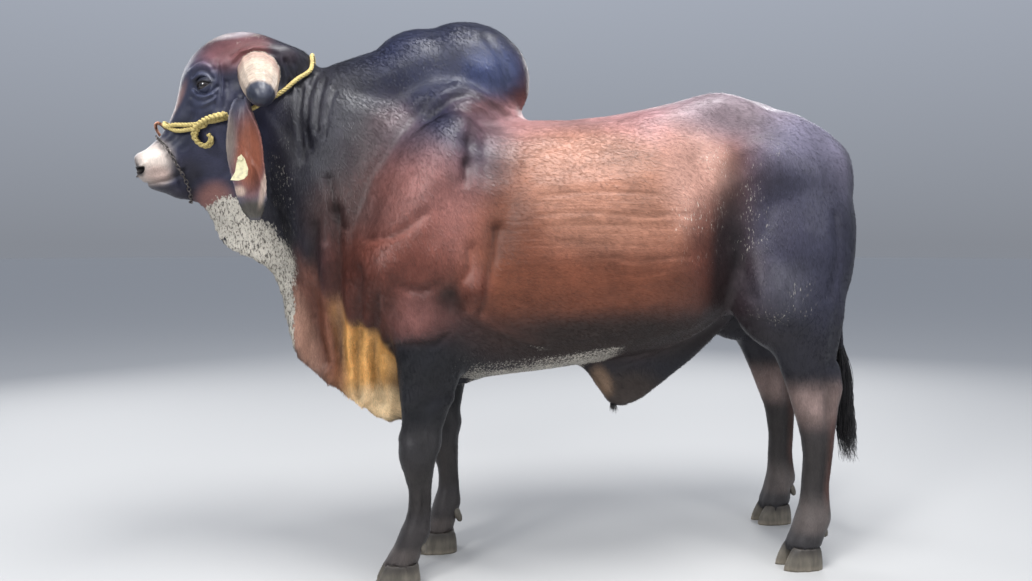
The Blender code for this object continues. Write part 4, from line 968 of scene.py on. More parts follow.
def coat_colours(points):
    """The markings of the skin, as linear colours."""
    places = points[:, [0, 2]]
    colours = np.tile(linear("charcoal"), (len(points), 1))
    middle = smooth_step(np.abs(points[:, 1]), DEWLAP_HALF + DEWLAP_FADE, DEWLAP_HALF)
    for wash in BODY_WASHES:
        colours = washed(colours, places, [wash], middle if "dewlap" in wash[0] else 1.0)
    for node in LEG_NODES:
        mine = on_leg(points, node)
        share = leg_share(SKIN_POINTS, node, points)
        for level, half, name, strength in (HIND_LEG_BANDS if "hind" in node else FORE_LEG_BANDS):
            band = smooth_step(np.abs(points[:, 2] - level) / half, 1.5, 0.5)
            colours = blend(colours, name, mine * band * strength)
        if "hind" in node:
            behind = smooth_step(share, *CANNON_ACROSS) * smooth_step(points[:, 2], *CANNON_LOW)
            colours = blend(colours, "cannon_red", mine * behind * smooth_step(points[:, 2], *CANNON_HIGH))
    colours = washed(colours, places, HEAD_WASHES, in_head(points))
    # Painted shade inside each nostril's hollow.
    for side in SIDES:
        hole = smooth_step(distance_to(points, NOSTRILS[side]), *NOSTRIL_SHADE)
        colours = blend(colours, "nostril_shade", hole)
    return colours


# %% [markdown]
# Some marks are patterns, not washes: white flecks that run down the flank, dark speckles on a white throat
# and belly, and grey frosting on the dome. So are the nearly bare skin of nose and lids and the fine
# wrinkles of barrel, neck and dewlap. Here only their areas are worked out, as masks from 0 to 1. The
# patterns themselves come from noise in the material, so that they are as fine on the coat as on the skin.

# %% Areas of the patterned marks
# x, z, half length, half height, turn in degrees, strength
FLECK_AREAS = (
    (0.44, 1.11, 0.11, 0.19, -10, 1.0),
    (0.59, 1.06, 0.06, 0.15, 0, 0.8),
    (0.7, 0.8, 0.12, 0.06, 15, 0.9),
    (0.64, 1.26, 0.1, 0.06, 0, 0.5),
    (-0.71, 1.12, 0.04, 0.18, 0, 0.9),
    (-0.83, 1.54, 0.12, 0.034, 5, 2.3),
    (-0.18, 0.62, 0.08, 0.05, 0, 0.6),
    (0.84, 0.5, 0.06, 0.06, 0, 0.5),
)
SPECKLE_AREAS = (
    (-0.868, 1.04, 0.075, 0.06, 30, 1.0),
    (-0.8, 0.965, 0.08, 0.08, 30, 1.0),
    (-0.735, 0.9, 0.06, 0.09, 0, 1.0),
    (-0.712, 0.79, 0.03, 0.11, 0, 0.95),
    (-0.7, 0.69, 0.016, 0.07, 0, 0.8),
    (-0.04, 0.574, 0.2, 0.02, 14, 0.6),
)
BARE_AREAS = (
    (-1.075, 1.17, 0.055, 0.06, -20, 1.0),
    (-0.906, 1.394, 0.038, 0.026, -15, 0.8),
    (-0.752, 1.48, 0.07, 0.05, 0, 0.5),
    (0.3, 0.5, 0.08, 0.04, 0, 0.5),
)
WRINKLE_AREAS = (
    (0.12, 1.03, 0.3, 0.15, 0, 1.0),
    (0.23, 1.25, 0.2, 0.06, 0, 0.4),
    (-0.62, 1.3, 0.08, 0.15, 0, 0.8),
    (-0.54, 0.8, 0.11, 0.26, 0, 0.7),
    (0.88, 0.48, 0.08, 0.08, 0, 0.8),
    (-0.05, 1.0, 0.06, 0.16, 0, 0.6),
)


def area_mask(points, areas):
    places = points[:, [0, 2]]
    mask = np.zeros(len(points))
    for *ellipse, strength in areas:
        mask = np.maximum(mask, strength * ellipse_weight(places, *ellipse))
    return mask


def mark_masks(points, normals):
    """Flecks, speckles, bare skin and wrinkles, each from 0 to 1."""
    speckles = area_mask(points, SPECKLE_AREAS)
    under_belly = smooth_step(normals[:, 2], -0.62, -0.93) * smooth_step(points[:, 2], 0.74, 0.66)
    along = smooth_step(points[:, 0], -0.26, -0.18) * smooth_step(points[:, 0], 0.3, 0.2)
    speckles = np.maximum(speckles, 0.6 * under_belly * along)
    flecks, bare, wrinkles = (area_mask(points, areas) for areas in (FLECK_AREAS, BARE_AREAS, WRINKLE_AREAS))
    return np.stack([flecks, speckles, bare, wrinkles], axis=1)


# %% The lie of the coat
# direction, x, z, half length, half height
LIES = (
    ((0.35, 0.0, -1.0), -0.62, 1.2, 0.18, 0.33),
    ((0.1, 0.0, -1.0), -0.56, 0.75, 0.2, 0.32),
    ((0.55, 0.0, -1.0), -0.33, 1.05, 0.2, 0.3),
    ((0.6, 0.0, -0.8), -0.25, 1.45, 0.22, 0.15),
    ((-0.1, 0.0, -1.0), 0.75, 0.9, 0.23, 0.33),
    ((0.45, 0.0, -0.9), 0.48, 1.0, 0.11, 0.26),
    ((0.0, 0.0, -1.0), 1.02, 0.85, 0.08, 0.42),
)
HEAD_LIE = np.array((-0.72, 0.0, -0.69))
BODY_LIE, LEG_LIE = np.array((1.0, 0.0, -0.42)), np.array((0.05, 0.0, -1.0))
LEG_LIE_BELOW, LEG_LIE_BESIDE = (0.74, 0.6), (0.03, 0.06)


def laid_flat(lie, normals):
    """The part of each direction that lies in the skin."""
    return lie - normals * np.sum(lie * normals, axis=1)[:, None]


def unit(rows):
    return rows / np.maximum(np.linalg.norm(rows, axis=1), 1e-9)[:, None]


def coat_lie(points, normals):
    """The direction in which the hair lies at each place, along the skin."""
    places = points[:, [0, 2]]
    lie = np.tile(BODY_LIE, (len(points), 1))
    for direction, *ellipse in LIES:
        lie = lie + (np.array(direction) - lie) * ellipse_weight(places, *ellipse)[:, None]
    legs = smooth_step(points[:, 2], *LEG_LIE_BELOW) * smooth_step(np.abs(points[:, 1]), *LEG_LIE_BESIDE)
    lie = lie + (LEG_LIE - lie) * legs[:, None]
    lie = lie + (HEAD_LIE - lie) * in_head(points)[:, None]
    return unit(laid_flat(lie, normals))


def store(mesh, name, values):
    """Writes one colour attribute, with its values on the vertices; a fourth value that isn't given is 0."""
    rows = np.zeros((len(values), 4))
    rows[:, :values.shape[1]] = values
    layer = mesh.color_attributes.new(name, "FLOAT_COLOR", "POINT")
    layer.data.foreach_set("color", rows.ravel())


# How strongly the relief is painted into the colour: painted shade in hollows, painted light on swellings.
RELIEF_SHADE, RELIEF_DARKEST, RELIEF_PALEST = 26.0, 0.6, 1.24


def paint(mesh):
    """Stores the markings. Hollows get painted shade and swellings painted light, to bring out the forms."""
    points, normals = points_of(mesh), normals_of(mesh)
    # Painted shade where the skin was pushed in and painted light where it was pushed out.
    shade = np.clip(1 + RELIEF_SHADE * RELIEF, RELIEF_DARKEST, RELIEF_PALEST)
    store(mesh, "Coat", coat_colours(points) * shade[:, None])
    store(mesh, "Marks", mark_masks(points, normals))
    store(mesh, "Lie", np.abs(coat_lie(points, normals)))


SKIN_POINTS = points_of(skin_mesh)
paint(skin_mesh)
print("washes:", len(BODY_WASHES) + len(HEAD_WASHES))

# %% [markdown]
# ## The hide's material
# Short hair isn't one colour: it shows as fine streaks along its lie, each a little lighter or darker.
# A noise stretched along X gives streaks that run back, and one stretched along Z gives streaks that run
# down. The stored lie mixes the two. Both sit in a group, because skin, ears and coat all use them.

# %% Helpers for node trees
def add_node(tree, kind, **values):
    """A node with its properties set by name and its inputs by number or name."""
    node = tree.nodes.new(kind)
    inputs = values.pop("inputs", {})
    for name, value in values.items():
        setattr(node, name, value)
    for name, value in inputs.items():
        if isinstance(value, bpy.types.NodeSocket):
            tree.links.new(value, node.inputs[name])
        else:
            node.inputs[name].default_value = value
    return node


def mixed(tree, factor, first, second):
    """first where the factor is 0, second where it is 1."""
    node = add_node(tree, "ShaderNodeMix", data_type="RGBA", inputs={0: factor, 6: first, 7: second})
    return node.outputs[2]


def blended(tree, factor, first, second):
    """The same for plain values."""
    return add_node(tree, "ShaderNodeMix", inputs={0: factor, 2: first, 3: second}).outputs[0]


def scaled(tree, colour, factor):
    return add_node(tree, "ShaderNodeVectorMath", operation="SCALE", inputs={0: colour, 3: factor}).outputs[0]


def maths(tree, operation, first, second, clamp=False):
    node = add_node(tree, "ShaderNodeMath", operation=operation, use_clamp=clamp,
                    inputs={0: first, 1: second})
    return node.outputs[0]


def steps(tree, value, low, high, out_low=0.0, out_high=1.0):
    """A smooth rise of the value between low and high."""
    node = add_node(tree, "ShaderNodeMapRange", interpolation_type="SMOOTHSTEP",
                    inputs={0: value, 1: low, 2: high, 3: out_low, 4: out_high})
    return node.outputs[0]


def noise(tree, scale=1.0, detail=2.0, stretch=None, roughness=0.5):
    """Noise on the object's own places; stretch gives a scale for each axis."""
    place = add_node(tree, "ShaderNodeTexCoord").outputs["Object"]
    if stretch:
        place = add_node(tree, "ShaderNodeMapping", inputs={"Vector": place, "Scale": stretch}).outputs[0]
    node = add_node(tree, "ShaderNodeTexNoise",
                    inputs={"Vector": place, "Scale": scale, "Detail": detail, "Roughness": roughness})
    return node.outputs["Fac"]


def new_group(name, inputs, outputs):
    """An empty node group with its sockets, and its input and output nodes."""
    group = bpy.data.node_groups.new(name, "ShaderNodeTree")
    for socket, kind in inputs:
        group.interface.new_socket(name=socket, in_out="INPUT", socket_type=kind)
    for socket, kind in outputs:
        group.interface.new_socket(name=socket, in_out="OUTPUT", socket_type=kind)
    return group, group.nodes.new("NodeGroupInput"), group.nodes.new("NodeGroupOutput")


def use_group(tree, group, **inputs):
    return add_node(tree, "ShaderNodeGroup", node_tree=group, inputs=inputs)


def new_material(name, roughness=0.5, specular=0.5):
    material = bpy.data.materials.new(name)
    material.use_nodes = True
    shader = material.node_tree.nodes["Principled BSDF"]
    shader.inputs["Roughness"].default_value = roughness
    shader.inputs["Specular IOR Level"].default_value = specular
    return material, material.node_tree, shader


def add_bump(tree, shader, height, strength, distance):
    bump = add_node(tree, "ShaderNodeBump",
                    inputs={"Height": height, "Strength": strength, "Distance": distance})
    tree.links.new(bump.outputs[0], shader.inputs["Normal"])


# %% Streaks of short hair
COLOUR, VALUE = "NodeSocketColor", "NodeSocketFloat"
# output, detail, scales along X, Y and Z where the hair lies back and where it lies down
STREAKS = (
    ("Streak", 2.0, (60.0, 800.0, 800.0), (800.0, 800.0, 60.0)),
    ("Clump", 2.0, (20.0, 50.0, 50.0), (50.0, 50.0, 20.0)),
    ("Wrinkle", 1.0, (6.0, 24.0, 84.0), (84.0, 24.0, 6.0)),
)


def streak_group():
    """Fine streaks, broad clumps and wrinkles that run back or down, as the lie says, from 0 to 1."""
    outputs = [(name, VALUE) for name, *_ in STREAKS]
    group, given, result = new_group("Hair_streaks", [("Lie", COLOUR)], outputs)
    parts = add_node(group, "ShaderNodeSeparateColor", inputs={0: given.outputs["Lie"]})
    downward = steps(group, parts.outputs[2], 0.45, 0.85)
    for name, detail, back, down in STREAKS:
        back, down = noise(group, detail=detail, stretch=back), noise(group, detail=detail, stretch=down)
        group.links.new(blended(group, downward, back, down), result.inputs[name])
    return group


def marks_group():
    """White flecks and dark speckles, drawn only where the marks' masks are."""
    group, given, result = new_group("Coat_marks", [("Coat", COLOUR), ("Marks", COLOUR)],
                                     [("Coat", COLOUR), ("Bare", VALUE)])
    white = (*linear("white_hair"), 1)
    dark = (*(linear("umber") * 0.7), 1)
    masks = add_node(group, "ShaderNodeSeparateColor", inputs={0: given.outputs["Marks"]})
    runs = noise(group, detail=3.0, stretch=(250.0, 250.0, 70.0))
    runs = maths(group, "ADD", runs, maths(group, "MULTIPLY", masks.outputs[0], 0.06))
    patches = noise(group, scale=16.0, detail=2.0)
    fleck = steps(group, runs, 0.64, 0.74)
    fleck = maths(group, "MULTIPLY", fleck, steps(group, patches, 0.42, 0.64))
    fleck = maths(group, "MULTIPLY", fleck, masks.outputs[0], clamp=True)
    coat = mixed(group, maths(group, "MULTIPLY", fleck, 0.75), given.outputs["Coat"], white)
    edge = noise(group, detail=4.0, stretch=(170.0, 170.0, 90.0))
    ground = maths(group, "ADD", masks.outputs[1], maths(group, "MULTIPLY", edge, 1.3))
    ground = steps(group, ground, 1.02, 1.26)
    spots = noise(group, detail=4.0, stretch=(190.0, 190.0, 95.0), roughness=0.6)
    speckled = mixed(group, steps(group, spots, 0.46, 0.66, 0.0, 0.85), white, dark)
    coat = mixed(group, ground, coat, speckled)
    group.links.new(coat, result.inputs["Coat"])
    group.links.new(masks.outputs[2], result.inputs["Bare"])
    return group


HAIR_STREAKS = streak_group()
COAT_MARKS = marks_group()

# %% The hide
def attribute(tree, name):
    return add_node(tree, "ShaderNodeAttribute", attribute_name=name).outputs["Color"]


def hide_material(name, bump_distance, sheen):
    material, tree, shader = new_material(name, roughness=0.5, specular=0.34)
    shader.inputs["Sheen Weight"].default_value = sheen
    shader.inputs["Sheen Roughness"].default_value = 0.35
    shader.inputs["Sheen Tint"].default_value = (0.80, 0.86, 1.0, 1)
    marks = use_group(tree, COAT_MARKS, Coat=attribute(tree, "Coat"), Marks=attribute(tree, "Marks"))
    streaks = use_group(tree, HAIR_STREAKS, Lie=attribute(tree, "Lie"))
    streak, clump = streaks.outputs["Streak"], streaks.outputs["Clump"]
    coat, bare = marks.outputs["Coat"], marks.outputs["Bare"]
    light = maths(tree, "ADD", maths(tree, "MULTIPLY", streak, 0.75), maths(tree, "MULTIPLY", clump, 0.25))
    shade = steps(tree, light, 0.34, 0.66, 0.8, 1.2)
    mottle = steps(tree, noise(tree, scale=8.0, detail=6.0, roughness=0.62), 0.3, 0.7, 0.8, 1.2)
    tree.links.new(scaled(tree, scaled(tree, coat, shade), mottle), shader.inputs["Base Color"])
    rough = steps(tree, streak, 0.3, 0.7, 0.38, 0.54)
    rough = maths(tree, "SUBTRACT", rough, maths(tree, "MULTIPLY", bare, 0.06))
    tree.links.new(rough, shader.inputs["Roughness"])
    pores = noise(tree, scale=420.0, detail=3.0)
    wrinkled = add_node(tree, "ShaderNodeAttribute", attribute_name="Marks").outputs["Alpha"]
    wrinkle = maths(tree, "MULTIPLY", maths(tree, "MULTIPLY", streaks.outputs["Wrinkle"], wrinkled), 4.0)
    height = maths(tree, "ADD", maths(tree, "ADD", streak, maths(tree, "MULTIPLY", clump, 0.5)), wrinkle)
    height = blended(tree, bare, height, maths(tree, "MULTIPLY", pores, 1.4))
    add_bump(tree, shader, height, 0.6, bump_distance)
    return material


HIDE = hide_material("Hide_short_hair", 0.0007, 0.03)
skin_mesh.materials.append(HIDE)
print("hide nodes:", len(HIDE.node_tree.nodes))

# %% [markdown]
# ## Eyes
# A bull's eye is a dark brown ball with a wide, level pupil and a wet cornea. A sphere whose poles lie on
# the line of sight keeps the iris round, and a small bulge stands for the cornea. The gloss of the tear film
# is a clear coat over a duller ball, which an export keeps better than a second, clear shell.

# %% Eyeballs
EYE_COLOURS = {"pupil": (5, 5, 7), "iris": (30, 20, 17), "iris_edge": (14, 10, 10), "sclera": (44, 36, 34)}
PUPIL_LONG, PUPIL_HIGH, IRIS_RADIUS = 0.0064, 0.004, 0.0125
CORNEA_REACH, CORNEA_BULGE = 0.0135, 0.0016
PALETTE.update(EYE_COLOURS)


def colour_eye(mesh, centre, look, long, upward):
    away = points_of(mesh) - np.array(centre)
    along, high = away @ np.array(long), away @ np.array(upward)
    radius = np.hypot(along, high)
    front = away @ np.array(look) > 0
    colours = np.tile(linear("sclera"), (len(away), 1))
    colours = blend(colours, "iris_edge", smooth_step(radius, IRIS_RADIUS * 1.06, IRIS_RADIUS) * front)
    colours = blend(colours, "iris", smooth_step(radius, IRIS_RADIUS, IRIS_RADIUS * 0.85) * front)
    pupil = np.hypot(along / PUPIL_LONG, high / PUPIL_HIGH)
    colours = blend(colours, "pupil", smooth_step(pupil, 1.12, 0.92) * front)
    store(mesh, "Coat", colours)


def make_eye(side):
    look, long, upward = EYE_AXES[side]
    centre = EYE_PLACES[side]
    bm = bmesh.new()
    turn = Matrix((long, upward, look)).transposed().to_4x4()
    bmesh.ops.create_uvsphere(bm, u_segments=48, v_segments=36, radius=EYE_RADIUS,
                              matrix=Matrix.Translation(centre) @ turn)
    for vertex in bm.verts:
        away = vertex.co - centre
        sideways = (away - look * away.dot(look)).length
        if away.dot(look) > 0 and sideways < CORNEA_REACH:
            vertex.co += look * (CORNEA_BULGE * (1 - (sideways / CORNEA_REACH) ** 2))
    bmesh.ops.recalc_face_normals(bm, faces=bm.faces)
    mesh = mesh_from(bm, "Eye_" + side)
    shade_smooth(mesh)
    colour_eye(mesh, centre, look, long, upward)
    mesh.materials.append(EYE)
    return new_piece("Eyeball_" + side, mesh, ["eye_" + side])


def eye_material():
    material, tree, shader = new_material("Wet_eye", roughness=0.25)
    shade = steps(tree, noise(tree, scale=900.0), 0.3, 0.7, 0.75, 1.25)
    tree.links.new(scaled(tree, attribute(tree, "Coat"), shade), shader.inputs["Base Color"])
    shader.inputs["Coat Weight"].default_value = 1.0
    shader.inputs["Coat Roughness"].default_value = 0.02
    return material


EYE = eye_material()
for side in SIDES:
    make_eye(side)

# %% [markdown]
# The rim of each lid is a thin wet edge. It is a small tube along the almond, which also hides where the
# skin dives behind the ball. A curve with a bevel makes it, as it makes every cord and wire here.

# %% Tubes from curves
def tube_mesh(paths, radius, closed=False, sides=6):
    """Round tubes along paths of places, as one mesh. Each radius may differ along its path."""
    curve = bpy.data.curves.new("Tube", "CURVE")
    curve.dimensions = "3D"
    curve.bevel_depth = 1.0
    curve.bevel_resolution = max((sides - 4) // 2, 0)
    curve.use_fill_caps = not closed
    for path in paths:
        spline = curve.splines.new("POLY")
        spline.points.add(len(path) - 1)
        rows = np.ones((len(path), 4))
        rows[:, :3] = np.array(path)
        spline.points.foreach_set("co", rows.ravel())
        thick = np.broadcast_to(np.asarray(radius, float), len(path))
        spline.points.foreach_set("radius", np.ascontiguousarray(thick))
        spline.use_cyclic_u = closed
    holder = link(bpy.data.objects.new("Tube", curve))
    mesh = bpy.data.meshes.new_from_object(holder.evaluated_get(bpy.context.evaluated_depsgraph_get()))
    bpy.data.objects.remove(holder)
    bpy.data.curves.remove(curve)
    bm = bmesh.new()
    bm.from_mesh(mesh)
    bmesh.ops.remove_doubles(bm, verts=bm.verts, dist=1e-6)
    bmesh.ops.recalc_face_normals(bm, faces=bm.faces)
    bm.to_mesh(mesh)
    bm.free()
    mesh.materials.clear()
    shade_smooth(mesh)
    return mesh


def joined(meshes):
    """Several meshes as one."""
    bm = bmesh.new()
    for mesh in meshes:
        bm.from_mesh(mesh)
    whole = mesh_from(bm, "Joined")
    shade_smooth(whole)
    return whole


# %% Lid rims
RIM_RADIUS, RIM_OUT, RIM_DEEPEST, RIM_STEPS = 0.0017, 0.0016, 0.006, 56
PALETTE["rim"] = (30, 26, 28)


def rim_place(side, share, above):
    """A place on the edge of the almond, from its front (1) to its back corner (-1)."""
    look, long, upward = EYE_AXES[side]
    along = LID_LONG * share
    high = (LID_UPPER if above > 0 else -LID_LOWER) * (1 - share ** 2)
    out = math.sqrt(max((EYE_RADIUS + RIM_OUT) ** 2 - along ** 2 - high ** 2, RIM_DEEPEST ** 2))
    return EYE_PLACES[side] + long * along + upward * high + look * out


def make_lid_rims():
    turns = [2 * math.pi * k / RIM_STEPS for k in range(RIM_STEPS)]
    loops = [[rim_place(side, math.cos(turn), math.copysign(1, math.sin(turn))) for turn in turns]
             for side in SIDES]
    mesh = tube_mesh(loops, RIM_RADIUS, closed=True, sides=8)
    material, tree, shader = new_material("Wet_lid_edge", roughness=0.3)
    shade = steps(tree, noise(tree, scale=700.0), 0.3, 0.7, 0.7, 1.3)
    tree.links.new(scaled(tree, tuple(linear("rim")), shade), shader.inputs["Base Color"])
    mesh.materials.append(material)
    return new_piece("Lid_rims", mesh, [])


make_lid_rims()

# %% [markdown]
# ## Ears
# A Gyr's ear hangs like a long curled leaf, with a notch near its tip. Its solid already has the curl,
# so the ear is that solid made again in fine even quads, with low ridges of gristle along it.

# %% Ears
EAR_VOXEL, EAR_ROUNDS, EAR_BARE = 0.003, 12, (-0.79, 1.2, 0.03, 0.13)
DOWNWARD = (0.0, 0.0, 1.0)
PALETTE.update({
    "ear_grey": (84, 85, 101),
    "ear_pink": (160, 96, 72),
    "ear_lobe": (134, 122, 114),
    "ear_olive": (62, 58, 50),
    "ear_pale": (206, 182, 164),
})
# colour, x, z, half length, half height, turn in degrees, strength
EAR_WASHES = (
    ("ear_pink", -0.78, 1.205, 0.046, 0.105, 0, 0.95),
    ("ear_lobe", -0.84, 1.245, 0.024, 0.075, 0, 0.95),
    ("ear_pale", -0.808, 1.108, 0.014, 0.014, 0, 0.8),
    ("ear_olive", -0.775, 1.058, 0.05, 0.03, 0, 0.95),
    ("ear_pale", -0.744, 1.12, 0.01, 0.05, -15, 0.7),
)
# half width, depth, places
EAR_RIDGES = (
    (0.004, -0.0022, ((-0.812, 1.225), (-0.79, 1.195), (-0.762, 1.16), (-0.745, 1.11), (-0.74, 1.085))),
    (0.0045, 0.0016, ((-0.804, 1.235), (-0.782, 1.205), (-0.756, 1.172))),
    (0.0045, -0.0014, ((-0.8, 1.33), (-0.812, 1.25), (-0.806, 1.17), (-0.786, 1.09))),
    (0.0045, -0.0014, ((-0.785, 1.33), (-0.79, 1.25), (-0.786, 1.17), (-0.776, 1.1))),
    (0.0045, -0.0012, ((-0.77, 1.31), (-0.766, 1.24), (-0.764, 1.17))),
)


def remade(name, nodes, voxel, rounds):
    """Copies of solids in fine even quads, relaxed but of the same size."""
    mesh = voxel_shell(name, nodes, voxel)
    relax(mesh, rounds)
    return mesh


def make_ear(side):
    mesh = remade("Ear_" + side, ["ear_" + side], EAR_VOXEL, EAR_ROUNDS)
    places = points_of(mesh)[:, [0, 2]]
    raise_skin(mesh, groove_height(places, EAR_RIDGES))
    store(mesh, "Coat", washed(np.tile(linear("ear_grey"), (len(places), 1)), places, EAR_WASHES))
    bare = 0.5 * ellipse_weight(places, *EAR_BARE)
    store(mesh, "Marks", np.stack([0 * bare, 0 * bare, bare], axis=1))
    store(mesh, "Lie", np.tile(DOWNWARD, (len(places), 1)))
    mesh.materials.append(HIDE)
    print("ear:", len(places), "vertices")
    return new_piece("Ear_leaf_" + side, mesh, ["ear_" + side])


ears = {side: make_ear(side) for side in SIDES}

# %% [markdown]
# ## Horns
# The horns are thick, blunt and turned down. Growth leaves low rings that fade towards the tip, and fibres
# that run along. Colour runs from a pinkish root over cream to a slate tip.

# %% Horns
HORN_VOXEL, HORN_ROUNDS = 0.003, 16
HORN_RING_SPACING, HORN_RING_HEIGHT = 0.013, 0.0004
# size, waves a metre and axis of what keeps the rings from being even
HORN_WOBBLES = ((0.0022, 31, 0), (0.0015, 63, 2))
RINGS_START, RINGS_END, RINGS_LEAST = (0.01, 0.035), (0.195, 0.15), 0.25
PALETTE.update({
    "horn_ring": (176, 167, 158),
    "horn_pink": (162, 134, 121),
    "horn_cream": (172, 155, 139),
    "horn_tip": (44, 47, 60),
})
# reach along the horn, colour
HORN_COLOURS = ((0.010, "horn_ring"), (0.030, "horn_pink"), (0.100, "horn_cream"))
# The slate tip reaches further back low on the horn: its own dark tip, with painted shade on the underside.
DARK_FROM, DARK_TO, TIP_SHADE_LEAN, TIP_SHADE_LEVEL = 0.158, 0.182, 0.5, 1.36


def horn_reach(points):
    """How far out along the horn each point is."""
    out = np.abs(points[:, 1]) - HORN_ROOT.y
    down = HORN_ROOT.z - points[:, 2]
    return np.where(out > 0, np.hypot(out, 0.8 * np.clip(down, 0, None) * (out > 0.03)), out)


def make_horn(side):
    mesh = remade("Horn_" + side, ["horn_" + side], HORN_VOXEL, HORN_ROUNDS)
    points = points_of(mesh)
    reach = horn_reach(points)
    wobble = reach + sum(size * np.sin(waves * points[:, axis]) for size, waves, axis in HORN_WOBBLES)
    fade = smooth_step(reach, *RINGS_START) * smooth_step(reach, *RINGS_END)
    phase = math.pi * wobble / HORN_RING_SPACING
    rings = np.sin(2 * phase) + 0.8 * np.sin(3.2 * phase)
    raise_skin(mesh, HORN_RING_HEIGHT * rings * (RINGS_LEAST + fade))
    colours = np.tile(linear(HORN_COLOURS[0][1]), (len(reach), 1))
    for (start, _), (end, name) in zip(HORN_COLOURS, HORN_COLOURS[1:]):
        colours = blend(colours, name, smooth_step(reach, start, end))
    # Painted shade: the lower a point lies, the sooner the slate begins.
    shaded_reach = reach + TIP_SHADE_LEAN * (TIP_SHADE_LEVEL - points_of(mesh)[:, 2])
    colours = blend(colours, "horn_tip", smooth_step(shaded_reach, DARK_FROM, DARK_TO))
    store(mesh, "Coat", colours)
    store(mesh, "Marks", np.zeros((len(reach), 4)))
    store(mesh, "Lie", np.tile(DOWNWARD, (len(reach), 1)))
    mesh.materials.append(HORN)
    return new_piece("Horn_sheath_" + side, mesh, ["horn_" + side])


def keratin_material(name, stretch, contrast, roughness, bump):
    """Horn or hoof: the stored colour with fibres and a satin gloss."""
    material, tree, shader = new_material(name, roughness=roughness)
    fibres = noise(tree, detail=4.0, stretch=stretch, roughness=0.6)
    stains = noise(tree, scale=22.0, detail=4.0)
    shade = steps(tree, fibres, 0.3, 0.7, 1 - contrast, 1 + contrast)
    shade = maths(tree, "MULTIPLY", shade, steps(tree, stains, 0.3, 0.7, 0.86, 1.08))
    tree.links.new(scaled(tree, attribute(tree, "Coat"), shade), shader.inputs["Base Color"])
    rough = steps(tree, stains, 0.3, 0.7, roughness - 0.08, roughness + 0.12)
    tree.links.new(rough, shader.inputs["Roughness"])
    add_bump(tree, shader, fibres, 0.5, bump)
    return material


HORN = keratin_material("Horn_keratin", (150.0, 34.0, 120.0), 0.15, 0.42, 0.0007)
horns = {side: make_horn(side) for side in SIDES}

# %% [markdown]
# ## Hooves and dewclaws
# Each foot has two claws and two dewclaws. They stand flat on the floor, so the remade claws are pressed
# back onto it, and low growth rings run round their walls.

# %% Claws
CLAW_VOXEL, CLAW_ROUNDS, CLAW_RING, CLAW_RING_HEIGHT, CLAW_SOLE = 0.0036, 6, 0.0075, 0.0004, 0.0022
CLAW_RING_UP, CLAW_DARK_UP, CLAW_DARK_TOP, CLAW_DUST_UP = (0.004, 0.012), (0.03, 0.062), 0.08, (0.02, 0.002)
PALETTE.update({"claw_grey": (96, 90, 80), "claw_dark": (58, 53, 48), "claw_dust": (130, 121, 106)})
CLAW_NODES = [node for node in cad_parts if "claw" in node]


def make_claws():
    meshes = [remade("Claw", [node], CLAW_VOXEL, CLAW_ROUNDS) for node in CLAW_NODES]
    mesh = joined(meshes)
    points = points_of(mesh)
    ring = np.sin(2 * math.pi * (points[:, 2] + 0.25 * points[:, 0]) / CLAW_RING)
    raise_skin(mesh, CLAW_RING_HEIGHT * ring * smooth_step(points[:, 2], *CLAW_RING_UP))
    points = points_of(mesh)
    points[:, 2] = np.where(points[:, 2] < CLAW_SOLE, 0.0, points[:, 2])
    move_points(mesh, points)
    colours = np.tile(linear("claw_grey"), (len(points), 1))
    darker = smooth_step(points[:, 2], *CLAW_DARK_UP) * (points[:, 2] < CLAW_DARK_TOP)
    colours = blend(colours, "claw_dark", darker)
    colours = blend(colours, "claw_dust", 0.7 * smooth_step(points[:, 2], *CLAW_DUST_UP))
    store(mesh, "Coat", colours)
    mesh.materials.append(keratin_material("Hoof_keratin", (60.0, 60.0, 14.0), 0.24, 0.55, 0.0010))
    print("claws:", len(CLAW_NODES), "with", len(points), "vertices")
    return new_piece("Hooves", mesh, CLAW_NODES)


make_claws()

# %% [markdown]
# ## Halter
# The show halter is a three-strand rope: over the nose, back along both cheeks to behind the ears, and over
# the neck behind the horns. Its route is set out in the side view and dropped onto the skin, so that it
# lies on the coat everywhere. Three strands that wind round that route make the twist.

# %% The route of the rope
ROPE_OUT, ROPE_STEP, PLAIT_STEP = 0.0088, 0.0028, 0.002
NOSE_ROPE = Vector((-1.005, 0, 1.282))
CROWN_ROPE = Vector((-0.632, 0, 1.43))
CHEEK_ROUTE = (
    (-0.985, 1.292), (-0.94, 1.29), (-0.896, 1.294), (-0.86, 1.3), (-0.83, 1.312),
    (-0.8, 1.328), (-0.755, 1.35), (-0.705, 1.378), (-0.668, 1.418),
)
LOWER_ROUTE = ((-0.985, 1.278), (-0.95, 1.277), (-0.918, 1.282), (-0.896, 1.288))
SKIN_TREE = BVHTree.FromPolygons([tuple(p) for p in points_of(skin_mesh)],
                                 [tuple(f.vertices) for f in skin_mesh.polygons])


def side_point(x, z, sign, out):
    """The place on the skin that the side view shows at x, z, moved out along its normal."""
    place, normal, _, _ = SKIN_TREE.ray_cast(Vector((x, sign, z)), Vector((0, -sign, 0)))
    return place + normal * out


def over_top(centre, above, half_width, out, count=5):
    """Places across the nose or the neck, from the left to the right side."""
    places = []
    for y in np.linspace(-half_width, half_width, count):
        place, normal, _, _ = SKIN_TREE.ray_cast(centre + above * 0.3 + Vector((0, float(y), 0)), -above)
        places.append(place + normal * out)
    return places


